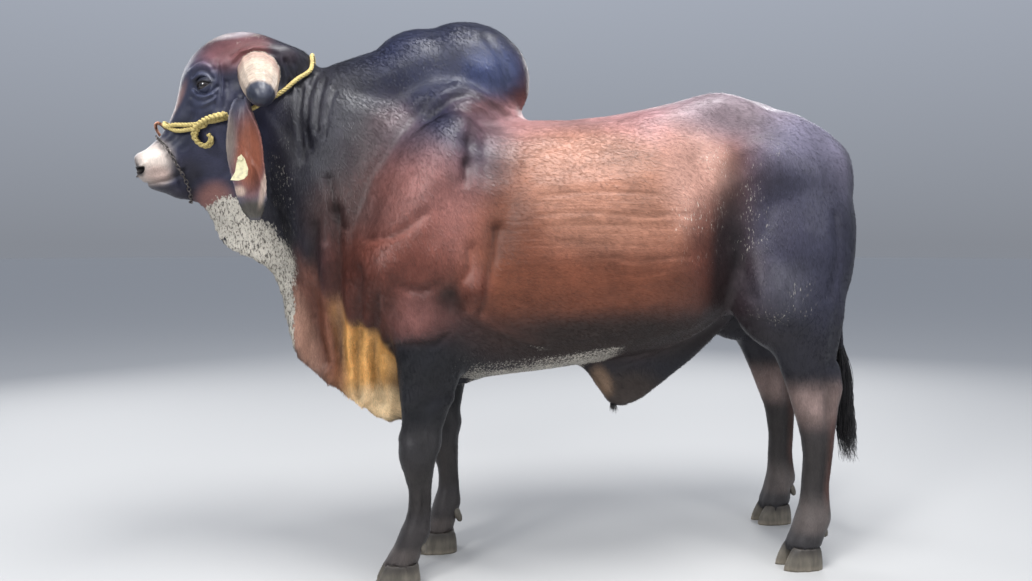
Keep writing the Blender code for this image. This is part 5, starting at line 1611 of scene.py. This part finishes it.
def smooth_route(places, spacing, closed=False):
    """A Catmull-Rom curve through the places, cut into even steps."""
    places = [np.array(place) for place in places]
    ends = (places[-1:], places[:2]) if closed else (places[:1], places[-1:])
    rows = np.array(ends[0] + places + ends[1])
    curve = []
    for a, b, c, d in zip(rows, rows[1:], rows[2:], rows[3:]):
        for t in np.linspace(0, 1, 24, endpoint=False):
            curve.append(0.5 * (2 * b + (c - a) * t + (2 * a - 5 * b + 4 * c - d) * t ** 2
                                + (3 * b - a - 3 * c + d) * t ** 3))
    curve = np.array(curve + ([curve[0]] if closed else [places[-1]]))
    lengths = np.concatenate([[0], np.cumsum(np.linalg.norm(np.diff(curve, axis=0), axis=1))])
    count = max(int(lengths[-1] / spacing), 4)
    wanted = np.linspace(0, lengths[-1], count + 1)[:count if closed else count + 1]
    return np.stack([np.interp(wanted, lengths, curve[:, axis]) for axis in range(3)], axis=1)


def route_axes(route, closed=False):
    """Two steady cross directions at each place of a route."""
    if closed:
        ahead = np.roll(route, -1, axis=0) - np.roll(route, 1, axis=0)
    else:
        ahead = np.gradient(route, axis=0)
    ahead /= np.linalg.norm(ahead, axis=1)[:, None]
    across = np.cross(ahead, (0.31, 0.17, 0.93))
    across /= np.linalg.norm(across, axis=1)[:, None]
    return across, np.cross(ahead, across)


HALTER_LEFT = [side_point(x, z, -1, ROPE_OUT) for x, z in CHEEK_ROUTE]
HALTER_RIGHT = [side_point(x, z, 1, ROPE_OUT) for x, z in CHEEK_ROUTE]
HALTER_NOSE = over_top(NOSE_ROPE, HEAD_FRONT, 0.045, ROPE_OUT)
HALTER_CROWN = over_top(CROWN_ROPE, UP, 0.06, ROPE_OUT)
HALTER_LOOP = HALTER_NOSE[::-1] + HALTER_LEFT + HALTER_CROWN + HALTER_RIGHT[::-1]
halter_route = smooth_route(HALTER_LOOP, ROPE_STEP, closed=True)
print("rope round the head:", round(ROPE_STEP * len(halter_route), 2), "m")

# %% [markdown]
# Where the rope's end is plaited back, three thicker strands swing from side to side and pass over each
# other, which two sine waves give, one across the plait and one of twice the rate up and down.

# %% Rope strands and plait
STRANDS, TWIST_LENGTH, STRAND_WIND, STRAND_RADIUS = 3, 0.03, 0.0031, 0.0034
PLAIT_LENGTH, PLAIT_SWING, PLAIT_RISE, PLAIT_STRAND, PLAIT_TAPER = 0.034, 0.0076, 0.004, 0.0056, 0.62
KNOT_ROUTE = (
    (-0.846, 1.312), (-0.88, 1.303), (-0.914, 1.286), (-0.929, 1.263), (-0.919, 1.245),
    (-0.897, 1.24), (-0.882, 1.251), (-0.888, 1.266),
)
KNOT_OUT, KNOT_OUT_STEP = 0.015, 0.0006


def twisted(route, closed=False):
    """The three strands of a rope along a route."""
    across, upward = route_axes(route, closed)
    length = ROPE_STEP * len(route)
    turns = max(round(length / TWIST_LENGTH), 1) if closed else length / TWIST_LENGTH
    steps_along = np.arange(len(route)) / (len(route) if closed else len(route) - 1)
    paths = []
    for strand in range(STRANDS):
        angle = 2 * math.pi * (turns * steps_along + strand / STRANDS)
        wind = np.cos(angle)[:, None] * across + np.sin(angle)[:, None] * upward
        paths.append(route + STRAND_WIND * wind)
    return tube_mesh(paths, STRAND_RADIUS, closed)


def plaited(route):
    """Three strands that pass over each other, thinner towards the cord's end."""
    across, upward = route_axes(route)
    along = np.arange(len(route)) * PLAIT_STEP / PLAIT_LENGTH
    taper = np.linspace(1.0, PLAIT_TAPER, len(route))[:, None]
    paths = []
    for strand in range(STRANDS):
        angle = 2 * math.pi * (along + strand / STRANDS)
        swing = PLAIT_SWING * np.sin(angle)[:, None] * across
        rise = PLAIT_RISE * np.sin(2 * angle)[:, None] * upward
        paths.append(route + taper * (swing + rise))
    return tube_mesh(paths, PLAIT_STRAND * taper.ravel(), sides=8)


def rope_material():
    material, tree, shader = new_material("Yellow_rope", roughness=0.62, specular=0.35)
    fibres = noise(tree, scale=620.0, detail=3.0)
    dirt = noise(tree, scale=30.0, detail=4.0)
    bright, dark = (0.7, 0.58, 0.24, 1), (0.38, 0.28, 0.09, 1)
    colour = mixed(tree, steps(tree, fibres, 0.35, 0.65), dark, bright)
    colour = mixed(tree, steps(tree, dirt, 0.55, 0.75, 0.0, 0.5), colour, (0.2, 0.15, 0.07, 1))
    tree.links.new(colour, shader.inputs["Base Color"])
    add_bump(tree, shader, fibres, 0.7, 0.0008)
    return material


def make_halter():
    meshes = [twisted(halter_route, closed=True)]
    for sign, nose_end in ((-1, HALTER_NOSE[0]), (1, HALTER_NOSE[-1])):
        strand = [nose_end] + [side_point(x, z, sign, ROPE_OUT) for x, z in LOWER_ROUTE]
        meshes.append(twisted(smooth_route(strand, ROPE_STEP)))
    knot = [side_point(x, z, -1, KNOT_OUT - KNOT_OUT_STEP * i) for i, (x, z) in enumerate(KNOT_ROUTE)]
    meshes.append(plaited(smooth_route(knot, PLAIT_STEP)))
    mesh = joined(meshes)
    mesh.materials.append(rope_material())
    return new_piece("Halter", mesh, ["halter_rope"])


make_halter()

# %% [markdown]
# ## Nose ring and chain
# A ring of copper wire holds the halter over the nose, wound with thinner wire, and a light chain of small
# links runs from it down both sides of the muzzle and under the jaw.

# %% Ring wound with wire
RING_PLACE = Vector((-1.02, 0, 1.262))
RING_LIFT, RING_RADIUS, RING_WIRE, RING_TURN = 0.006, 0.026, 0.003, math.radians(32)
WINDING_TURNS, WINDING_RADIUS, WINDING_WIRE = 44, 0.0038, 0.0011
METALS = {"Copper_wire": ((0.42, 0.22, 0.15, 1), 0.38), "Chain_steel": ((0.20, 0.18, 0.17, 1), 0.42)}


def metal_material(name):
    colour, roughness = METALS[name]
    material, tree, shader = new_material(name)
    shader.inputs["Metallic"].default_value = 1.0
    wear = noise(tree, scale=260.0, detail=4.0)
    dull = tuple(0.35 * part for part in colour[:3]) + (1,)
    tree.links.new(mixed(tree, steps(tree, wear, 0.42, 0.68), colour, dull), shader.inputs["Base Color"])
    tree.links.new(steps(tree, wear, 0.3, 0.7, roughness - 0.1, roughness + 0.25), shader.inputs["Roughness"])
    return material


def circle(centre, across, along, radius, count):
    turns = 2 * math.pi * np.arange(count) / count
    return (np.array(centre) + radius * (np.cos(turns)[:, None] * np.array(across)
                                         + np.sin(turns)[:, None] * np.array(along)))


def make_ring():
    centre = over_top(RING_PLACE, HEAD_FRONT, 0.0, 0.0, 1)[0] + HEAD_FRONT * RING_LIFT
    along = HEAD_FRONT.normalized()
    across = Vector((0, 1, 0)) * math.cos(RING_TURN) + HEAD_DOWN * math.sin(RING_TURN)
    facing = along.cross(across).normalized()
    wire = circle(centre, across, along, RING_RADIUS, 64)
    count = WINDING_TURNS * 10
    middle = circle(centre, across, along, RING_RADIUS, count)
    outward = (middle - np.array(centre)) / RING_RADIUS
    angle = 2 * math.pi * WINDING_TURNS * np.arange(count) / count
    winding = middle + WINDING_RADIUS * (np.cos(angle)[:, None] * outward
                                         + np.sin(angle)[:, None] * np.array(facing))
    mesh = joined([tube_mesh([wire], RING_WIRE, closed=True, sides=10),
                   tube_mesh([winding], WINDING_WIRE, closed=True)])
    mesh.materials.append(metal_material("Copper_wire"))
    return new_piece("Nose_ring", mesh, ["nose_ring"])


make_ring()

# %% Chain of small links
CHAIN_ROUTE = (
    (-1.038, 1.256), (-1.024, 1.244), (-1.008, 1.225), (-0.994, 1.2), (-0.982, 1.176), (-0.972, 1.15),
    (-0.966, 1.128),
)
CHAIN_UNDER = Vector((-0.962, 0, 1.102))
CHAIN_OUT, LINK_LONG, LINK_WIDE, LINK_WIRE, LINK_SPACING = 0.006, 0.0078, 0.0046, 0.0015, 0.0112


def chain_route():
    left = [side_point(x, z, -1, CHAIN_OUT) for x, z in CHAIN_ROUTE]
    right = [side_point(x, z, 1, CHAIN_OUT) for x, z in CHAIN_ROUTE]
    under = over_top(CHAIN_UNDER, -UP, 0.02, CHAIN_OUT, 3)
    return smooth_route(left + under + right[::-1], LINK_SPACING)


def make_chain():
    route = chain_route()
    across, upward = route_axes(route)
    ahead = np.cross(across, upward)
    links = []
    for i, place in enumerate(route):
        turn = math.pi / 4 if i % 2 else -math.pi / 4
        side = math.cos(turn) * across[i] + math.sin(turn) * upward[i]
        angle = 2 * math.pi * np.arange(10) / 10
        links.append(place + LINK_LONG * np.cos(angle)[:, None] * ahead[i]
                     + LINK_WIDE * np.sin(angle)[:, None] * side)
    mesh = tube_mesh(links, LINK_WIRE, closed=True, sides=4)
    mesh.materials.append(metal_material("Chain_steel"))
    print("links:", len(links))
    return new_piece("Chin_chain", mesh, ["chin_chain"])


make_chain()

# %% [markdown]
# ## Ear tag
# A blank plastic tag hangs from the left ear on a round stud. Its outline is drawn as one face, which an
# extrusion thickens and a bevel softens, as a moulding would be.

# %% Tag and stud
TAG_PLACE = Vector((-0.8, -0.203, 1.19))
TAG_OUTLINE = (
    (0.002, 0.012), (0.011, 0.0), (0.019, -0.026), (0.017, -0.043), (0.008, -0.053), (-0.006, -0.057),
    (-0.026, -0.056), (-0.014, -0.034), (-0.009, -0.006),
)
TAG_THICK, TAG_BEVEL, STUD_RADIUS, STUD_LONG = 0.0024, 0.0009, 0.0075, 0.005


def make_tag():
    bm = bmesh.new()
    corners = [bm.verts.new(TAG_PLACE + Vector((x, 0, z))) for x, z in TAG_OUTLINE]
    face = bm.faces.new(corners)
    made = bmesh.ops.extrude_face_region(bm, geom=[face])
    moved = [item for item in made["geom"] if isinstance(item, bmesh.types.BMVert)]
    bmesh.ops.translate(bm, vec=(0, TAG_THICK, 0), verts=moved)
    upright = Matrix.Translation(TAG_PLACE - Vector((0, 0.0015, 0))) @ Matrix.Rotation(math.pi / 2, 4, "X")
    bmesh.ops.create_cone(bm, cap_ends=True, segments=28, radius1=STUD_RADIUS, radius2=STUD_RADIUS * 0.8,
                          depth=STUD_LONG, matrix=upright)
    bmesh.ops.recalc_face_normals(bm, faces=bm.faces)
    sharp = [edge for edge in bm.edges if edge.calc_face_angle(0) > 0.6]
    bmesh.ops.bevel(bm, geom=sharp, offset=TAG_BEVEL, offset_type="OFFSET", segments=3, profile=0.5,
                    affect="EDGES", material=-1)
    mesh = mesh_from(bm, "Tag")
    material, tree, shader = new_material("Tag_plastic", roughness=0.38)
    dirt = noise(tree, scale=90.0, detail=4.0)
    clean, dusty = (0.8, 0.74, 0.47, 1), (0.52, 0.46, 0.29, 1)
    tree.links.new(mixed(tree, steps(tree, dirt, 0.45, 0.75), clean, dusty), shader.inputs["Base Color"])
    add_bump(tree, shader, noise(tree, scale=500.0), 0.15, 0.0004)
    mesh.materials.append(material)
    return new_piece("Ear_tag", mesh, ["ear_tag"])


make_tag()

# %% [markdown]
# ## Tail switch
# The switch is long black hair that parts into wavy ends. It is the one place with real length of hair, so
# each strand is its own thin tapering tube. Hundreds of them are made from arrays, all in one mesh.

# %% Strands from arrays
def mesh_of_rows(name, points, corners, starts):
    """A mesh of small faces, from the places, the corners face by face and each face's first corner."""
    mesh = bpy.data.meshes.new(name)
    mesh.vertices.add(len(points))
    mesh.vertices.foreach_set("co", points.ravel())
    mesh.loops.add(len(corners))
    mesh.loops.foreach_set("vertex_index", corners)
    mesh.polygons.add(len(starts))
    mesh.polygons.foreach_set("loop_start", starts)
    mesh.update(calc_edges=True)
    shade_smooth(mesh)
    return mesh


def strand_mesh(paths, radii):
    """Tapering three-sided strands. paths is strands x steps x 3 and radii is strands x steps."""
    count, steps_along, _ = paths.shape
    ahead = np.gradient(paths, axis=1)
    ahead /= np.maximum(np.linalg.norm(ahead, axis=2), 1e-9)[:, :, None]
    across = np.cross(ahead, (0.37, 0.86, 0.35))
    across /= np.maximum(np.linalg.norm(across, axis=2), 1e-9)[:, :, None]
    upward = np.cross(ahead, across)
    corners = []
    for k in range(3):
        angle = 2 * math.pi * k / 3
        corners.append(paths + radii[:, :, None] * (math.cos(angle) * across + math.sin(angle) * upward))
    points = np.stack(corners, axis=2).reshape(-1, 3)
    first = np.arange(count)[:, None, None] * steps_along * 3
    ring = first + np.arange(steps_along - 1)[None, :, None] * 3
    here = ring + np.arange(3)[None, None, :]
    beside = ring + (np.arange(3) + 1)[None, None, :] % 3
    quads = np.stack([here, beside, beside + 3, here + 3], axis=3).ravel()
    return mesh_of_rows("Strands", points, quads, np.arange(0, len(quads), 4))


def hair_material(name, dark, light):
    material, tree, shader = new_material(name, roughness=0.42)
    runs = noise(tree, detail=2.0, stretch=(260.0, 260.0, 12.0))
    colour = mixed(tree, steps(tree, runs, 0.35, 0.7), (*dark, 1), (*light, 1))
    tree.links.new(colour, shader.inputs["Base Color"])
    return material


# %% The switch
SWITCH_STRANDS, SWITCH_STEPS = 620, 20
SWITCH_TOP, SWITCH_TIP, SWITCH_LONGEST, SWITCH_UNEVEN = 0.64, 0.252, 0.34, 0.11
SWITCH_CORE = ((1.038, 0.64), (1.044, 0.56), (1.052, 0.48), (1.062, 0.4))


def make_switch():
    draws = np.random.default_rng(11)
    core = np.array(SWITCH_CORE)
    level = SWITCH_TOP - 0.23 * draws.random(SWITCH_STRANDS) ** 1.3
    x = np.interp(level, core[::-1, 1], core[::-1, 0])
    angle = 2 * math.pi * draws.random(SWITCH_STRANDS)
    root_out = 0.009 * np.sqrt(draws.random(SWITCH_STRANDS))
    ends = SWITCH_TIP + SWITCH_UNEVEN * draws.random(SWITCH_STRANDS) ** 1.6
    length = np.minimum(SWITCH_LONGEST * (0.45 + 0.55 * draws.random(SWITCH_STRANDS)), level - ends)
    share = np.linspace(0, 1, SWITCH_STEPS)[None, :]
    locks = draws.integers(0, 9, SWITCH_STRANDS)
    lock_angle = 2 * math.pi * draws.random(9)[locks]
    swell = 0.02 * np.sin(math.pi * np.minimum(share * 1.15, 1)) + 0.01 * share
    spread = 0.6 + 0.6 * draws.random((SWITCH_STRANDS, 1))
    wave = 0.0085 * np.sin(2 * math.pi * (share * 2.1 + draws.random(9)[locks][:, None])) * share
    side_x, side_y = np.cos(angle)[:, None], np.sin(angle)[:, None]
    pull_x, pull_y = np.cos(lock_angle)[:, None], np.sin(lock_angle)[:, None]
    paths = np.empty((SWITCH_STRANDS, SWITCH_STEPS, 3))
    paths[:, :, 0] = (x[:, None] + side_x * (root_out[:, None] + swell * spread * 0.75)
                      + pull_x * 0.012 * share ** 2 + wave * side_y + 0.022 * share ** 1.5)
    paths[:, :, 1] = (side_y * (root_out[:, None] + swell * spread) + pull_y * 0.012 * share ** 2
                      - wave * side_x)
    paths[:, :, 2] = level[:, None] - length[:, None] * share
    radii = 0.0011 * (1 - 0.85 * share ** 2) * np.ones((SWITCH_STRANDS, 1))
    mesh = strand_mesh(paths, radii)
    mesh.materials.append(hair_material("Switch_hair", (0.006, 0.006, 0.008), (0.030, 0.026, 0.026)))
    print("switch triangles:", 2 * len(mesh.polygons))
    return new_piece("Tail_switch", mesh, ["tail_switch"])


make_switch()

# %% [markdown]
# ## The coat
# A zebu's hair is short, sleek and flat. Hair curves would be lost in an export, and painted hair alone
# leaves a bare outline. So each tuft is a small pointed blade of three triangles that starts just under the
# skin, lifts a little and lies back along the coat, with the skin's own colour at its root. Tufts stand
# closest where an outline shows them: on the back and belly, where the body faces ahead or behind, on the
# dome and round the hooves. Elsewhere the material's streaks do most. Face and feet have the shortest.

# %% Where tufts grow
BODY_HAIR, NECK_HAIR, LEG_HAIR = 0.011, 0.012, 0.0085
FOOT_HAIR, FACE_HAIR, DOME_HAIR = 0.0052, 0.0048, 0.008
NECK_FROM, FOOT_FROM = (-0.38, -0.5), (0.24, 0.14)
CORONET, CORONET_HALF, CORONET_HAIR = 0.064, 0.016, 0.013
EYE_CLEAR, NOSTRIL_CLEAR, MOUTH_CLEAR, SOLE_CLEAR = 0.0265, 0.022, 0.006, 0.012
DOME = (-0.83, 1.535, 0.14, 0.055)


def hair_length(points):
    """Longest on neck and body, shorter on the legs, shortest on the face and feet."""
    beside = smooth_step(np.abs(points[:, 1]), 0.04, 0.06)
    length = BODY_HAIR + (NECK_HAIR - BODY_HAIR) * smooth_step(points[:, 0], *NECK_FROM)
    length += (LEG_HAIR - length) * smooth_step(points[:, 2], 0.7, 0.5) * beside
    length += (FOOT_HAIR - length) * smooth_step(points[:, 2], *FOOT_FROM)
    length += (CORONET_HAIR - length) * smooth_step(np.abs(points[:, 2] - CORONET), CORONET_HALF, 0.004)
    length += (FACE_HAIR - length) * in_head(points)
    return length + (DOME_HAIR - length) * ellipse_weight(points[:, [0, 2]], *DOME)


def hair_weight(points, normals, bare):
    """How closely the tufts stand at each place."""
    weight = 1 + 1.6 * smooth_step(np.abs(normals[:, 2]), 0.45, 0.85)
    weight += 1.2 * smooth_step(np.abs(normals[:, 0]), 0.5, 0.9)
    weight += 2.0 * ellipse_weight(points[:, [0, 2]], *DOME)
    weight += 6.0 * smooth_step(np.abs(points[:, 2] - CORONET), CORONET_HALF, 0.004)
    weight *= 1 - 0.85 * bare
    for side in SIDES:
        weight *= distance_to(points, EYE_PLACES[side]) > EYE_CLEAR
        weight *= distance_to(points, NOSTRILS[side]) > NOSTRIL_CLEAR
    weight *= distance_to_path(points[:, [0, 2]], MOUTH) > MOUTH_CLEAR
    return weight * (points[:, 2] > SOLE_CLEAR)


def stored(mesh, name):
    return rows_of(mesh.color_attributes[name].data, "color", 4)


def scatter(mesh, weight, count, draws):
    """Random places on a mesh, closer where the weight is higher: the corners round them and their shares."""
    mesh.calc_loop_triangles()
    corners = rows_of(mesh.loop_triangles, "vertices", 3, np.int32)
    a, b, c = (points_of(mesh)[corners[:, k]] for k in range(3))
    area = np.linalg.norm(np.cross(b - a, c - a), axis=1)
    chance = np.cumsum(area * weight[corners].mean(axis=1))
    chosen = np.searchsorted(chance, chance[-1] * draws.random(count))
    return corners[np.minimum(chosen, len(corners) - 1)], draws.dirichlet((1, 1, 1), count)


# %% Blades of hair
TUFT_SLIM, TUFT_TURN, TUFT_ROOT = 0.06, 0.22, 0.0004
TUFT_LIFT_LEAST, TUFT_LIFT_MORE = 0.08, 0.12
TUFT_DARKEST, TUFT_PALEST = 0.86, 1.14
TUFT_SHORTEST, TUFT_SPREAD, TUFT_FOOT, TUFT_ARCH = 0.72, 0.56, 0.7, 0.65


def tufts_on(mesh, weight, length, lie, count, seed, lift=1.0):
    """Blades rooted on a mesh: their corner points, roots, normals and the marks of the hide at the roots."""
    draws = np.random.default_rng(seed)
    corners, share = scatter(mesh, weight, count, draws)
    values = [points_of(mesh), normals_of(mesh), lie, length[:, None]]
    values += [stored(mesh, name) for name in ("Coat", "Marks", "Lie")]
    root, normal, ahead, long, coat, marks, along = (
        np.einsum("nk,nkd->nd", share, rows[corners]) for rows in values)
    normal, ahead = unit(normal), unit(ahead)
    across = np.cross(normal, ahead)
    turn = draws.normal(0, TUFT_TURN, (count, 1))
    c, s = np.cos(turn), np.sin(turn)
    ahead, across = c * ahead + s * across, c * across - s * ahead
    long = long * (TUFT_SHORTEST + TUFT_SPREAD * draws.random((count, 1)))
    rise = lift * long * (TUFT_LIFT_LEAST + TUFT_LIFT_MORE * draws.random((count, 1))) * normal
    half = TUFT_SLIM * long * across
    low = root - TUFT_ROOT * normal
    middle = root + 0.5 * long * ahead + TUFT_ARCH * rise
    tip = root + long * ahead + rise
    foot = TUFT_FOOT * half
    blades = np.stack([low - foot, low + foot, middle - half, middle + half, tip], axis=1)
    coat[:, :3] *= TUFT_DARKEST + (TUFT_PALEST - TUFT_DARKEST) * draws.random((count, 1))
    return blades, root, normal, coat, marks, along


# %% The map of the tufts
BAKE_SCALE, BAKE_PATCH, BAKE_LOW, BAKE_REAR = 0.165, 0.003, np.array(CAD_BOX[0]) - 0.01, 0.25
TILE_LONG, TILE_HIGH, TILE_END, TILE_WIDE = 0.372, 0.272, 0.75, 0.125
TILE_TOP, TILE_SMALL, SMALL_LOW, SMALL_LONG, SMALL_HIGH = 0.56, 0.7, 0.155, 0.15, 0.13
PATCH_CORNERS = np.array(((-0.5, -0.5), (0.5, -0.5), (-0.5, 0.0), (0.5, 0.0), (0.0, 0.5)))


def unwrapped(points, normals):
    """A box unwrap: each place goes to the tile of the direction in which the skin looks there."""
    facing = np.abs(normals).argmax(axis=1)
    forward = np.take_along_axis(normals, facing[:, None], axis=1)[:, 0] > 0
    x, y, z = ((points - BAKE_LOW) * BAKE_SCALE).T
    right, rear = points[:, 1] > 0, points[:, 0] > BAKE_REAR
    end = np.stack([TILE_END + y + TILE_WIDE * rear, z + TILE_HIGH * forward], axis=1)
    side = np.stack([x + TILE_LONG * right, z + TILE_HIGH * forward], axis=1)
    top = np.stack([x + TILE_LONG * forward, TILE_TOP + y], axis=1)
    return np.choose(facing[:, None], (end, side, top))


def unwrapped_small(points, normals):
    """The same for ears and horns, which have tiles of their own above the others."""
    facing = np.abs(normals).argmax(axis=1)
    x, _, z = ((points - BAKE_LOW) * BAKE_SCALE).T
    column = (points[:, 1] > 0) + 2 * (facing != 1)
    forward = np.take_along_axis(normals, facing[:, None], axis=1)[:, 0] > 0
    return np.stack([x + SMALL_LONG * column, TILE_SMALL + z - SMALL_LOW + SMALL_HIGH * forward], axis=1)


def coat_mesh(name, batches, maps):
    """One mesh of all these blades, with the marks of the hide and the map of the tufts."""
    blades, _, normals, coat, marks, along = (np.concatenate(rows) for rows in zip(*batches))
    centres = np.concatenate([unwrap(batch[1], batch[2]) for batch, unwrap in zip(batches, maps)])
    count = len(blades)
    first = 5 * np.arange(count)[:, None]
    corners = (first + np.array((0, 2, 3, 1, 2, 4, 3))).ravel()
    starts = (7 * np.arange(count)[:, None] + np.array((0, 4))).ravel()
    mesh = mesh_of_rows(name, blades.reshape(-1, 3), corners, starts)
    for label, values in (("Coat", coat), ("Marks", marks), ("Lie", along)):
        store(mesh, label, np.repeat(values, 5, axis=0))
    places = (centres[:, None, :] + BAKE_PATCH * PATCH_CORNERS).reshape(-1, 2)
    mesh.uv_layers.new(name="OFBake").data.foreach_set("uv", places[corners].ravel())
    mesh.materials.append(HIDE)
    return mesh


# %% Coat pieces
COAT_PIECES = (
    ("Coat_neck", 52000), ("Coat_shoulder", 46000), ("Coat_ribs", 42000), ("Coat_flank", 38000),
    ("Coat_rear", 48000), ("Coat_forelegs", 34000), ("Coat_hindlegs", 34000), ("Coat_head", 50000),
)
COAT_CUTS, COAT_LEG_TOP = (-0.42, -0.12, 0.2, 0.5), 0.6
EAR_TUFTS, EAR_HAIR, EAR_LIE, EAR_SEED = 2600, 0.0048, (0.05, 0.0, -1.0), 21
HORN_TUFTS, HORN_HAIR, HORN_LIE, HORN_SEED, HORN_LIFT = 1800, 0.0085, (-0.15, 0.9, -0.3), 31, 1.5
HORN_RAGGED, HORN_RAGGED_WAVES, HORN_HAIR_REACH = 0.006, 90, (0.016, 0.002)
HORN_TOP, HORN_TOP_REACH = (1.4, 1.46), 0.01


def coat_region(points):
    """The number of the coat piece at each place."""
    region = np.digitize(points[:, 0], COAT_CUTS)
    on_legs = (points[:, 2] < COAT_LEG_TOP) & (np.abs(points[:, 1]) > 0.05)
    region = np.where(on_legs, np.where(points[:, 0] < BAKE_REAR, 5, 6), region)
    return np.where(in_head(points) > 0.5, 7, region)


def skin_tufts(mesh):
    """One batch of tufts for each coat piece."""
    points, normals = points_of(mesh), normals_of(mesh)
    lie, length = coat_lie(points, normals), hair_length(points)
    weight = hair_weight(points, normals, stored(mesh, "Marks")[:, 2])
    region = coat_region(points)
    return [tufts_on(mesh, weight * (region == number), length, lie, count, number)
            for number, (_, count) in enumerate(COAT_PIECES)]


def ear_tufts(side):
    mesh = ears[side].data
    points, normals = points_of(mesh), normals_of(mesh)
    edge = 1 + 3 * smooth_step(np.abs(normals[:, 0]), 0.5, 0.9)
    lie = laid_flat(np.tile(EAR_LIE, (len(points), 1)), normals)
    return tufts_on(mesh, edge, np.full(len(points), EAR_HAIR), lie, EAR_TUFTS, EAR_SEED + SIDES[side])


def horn_tufts(side):
    """The white ring of hair round the root of a horn."""
    mesh = horns[side].data
    points, normals = points_of(mesh), normals_of(mesh)
    ragged = HORN_RAGGED * np.sin(HORN_RAGGED_WAVES * points[:, 0])
    ragged += HORN_TOP_REACH * smooth_step(points[:, 2], *HORN_TOP)
    near_root = smooth_step(horn_reach(points) - ragged, *HORN_HAIR_REACH)
    lie = laid_flat(np.tile((1, SIDES[side], 1), (len(points), 1)) * HORN_LIE, normals)
    length = np.full(len(points), HORN_HAIR)
    batch = tufts_on(mesh, near_root, length, lie, HORN_TUFTS, HORN_SEED + SIDES[side], HORN_LIFT)
    batch[3][:, :3] = linear("white_hair") * (0.8 + 0.4 * np.linspace(0, 1, HORN_TUFTS) ** 0.5)[:, None]
    return batch


def make_coat():
    batches = skin_tufts(skin_mesh)
    small = [ear_tufts(side) for side in SIDES] + [horn_tufts(side) for side in SIDES]
    for (name, count), batch in zip(COAT_PIECES, batches):
        extra = small if name == "Coat_head" else []
        maps = [unwrapped] + [unwrapped_small] * len(extra)
        mesh = coat_mesh(name, [batch] + extra, maps)
        new_piece(name, mesh, [])
        print(name, 3 * (len(mesh.polygons) // 2), "triangles")


make_coat()

# %% [markdown]
# Two more places have single hairs that show: the upper lashes and the tip of the sheath. They are thin
# tapering strands, like those of the switch.

# %% Lashes and the sheath's tip
LASHES, LASH_LONG, SHEATH_HAIRS, SHEATH_HAIR_LONG, HAIR_STEPS = 46, 0.0085, 90, 0.03, 6
LASH_SPREAD, LASH_THICK, SHEATH_THICK, HAIR_TAPER = 0.85, 0.0003, 0.0006, 0.85
SHEATH_TIP = Vector((0.27, 0, 0.478))


def lash_paths(side, draws):
    look, long, upward = EYE_AXES[side]
    share = np.linspace(0, 1, HAIR_STEPS)[:, None]
    paths = []
    for place in np.linspace(-LASH_SPREAD, LASH_SPREAD, LASHES):
        root = np.array(rim_place(side, float(place), 1))
        out = np.array(look) * 0.9 + np.array(long) * 0.5 * place - np.array(upward) * 0.35
        reach = LASH_LONG * (0.7 + 0.5 * draws.random())
        paths.append(root + reach * (share * out + 0.35 * share ** 2 * np.array(upward)))
    return paths


def sheath_paths(draws):
    share = np.linspace(0, 1, HAIR_STEPS)[:, None]
    paths = []
    for _ in range(SHEATH_HAIRS):
        turn, out = 2 * math.pi * draws.random(), 0.009 * math.sqrt(draws.random())
        side = np.array((math.cos(turn), math.sin(turn), 0.0))
        root = np.array(SHEATH_TIP) + out * side
        fall = np.array((0.15, 0.0, -1.0)) + 0.35 * draws.normal(0, 0.5, 3)
        paths.append(root + SHEATH_HAIR_LONG * (0.6 + 0.4 * draws.random()) * share * fall)
    return paths


def make_single_hairs():
    draws = np.random.default_rng(41)
    paths = np.array([path for side in SIDES for path in lash_paths(side, draws)] + sheath_paths(draws))
    thick = np.repeat((LASH_THICK, SHEATH_THICK), (2 * LASHES, SHEATH_HAIRS))[:, None]
    mesh = strand_mesh(paths, thick * (1 - HAIR_TAPER * np.linspace(0, 1, HAIR_STEPS)[None, :] ** 2))
    mesh.materials.append(hair_material("Dark_hair", (0.006, 0.006, 0.007), (0.030, 0.024, 0.022)))
    return new_piece("Single_hairs", mesh, [])


make_single_hairs()
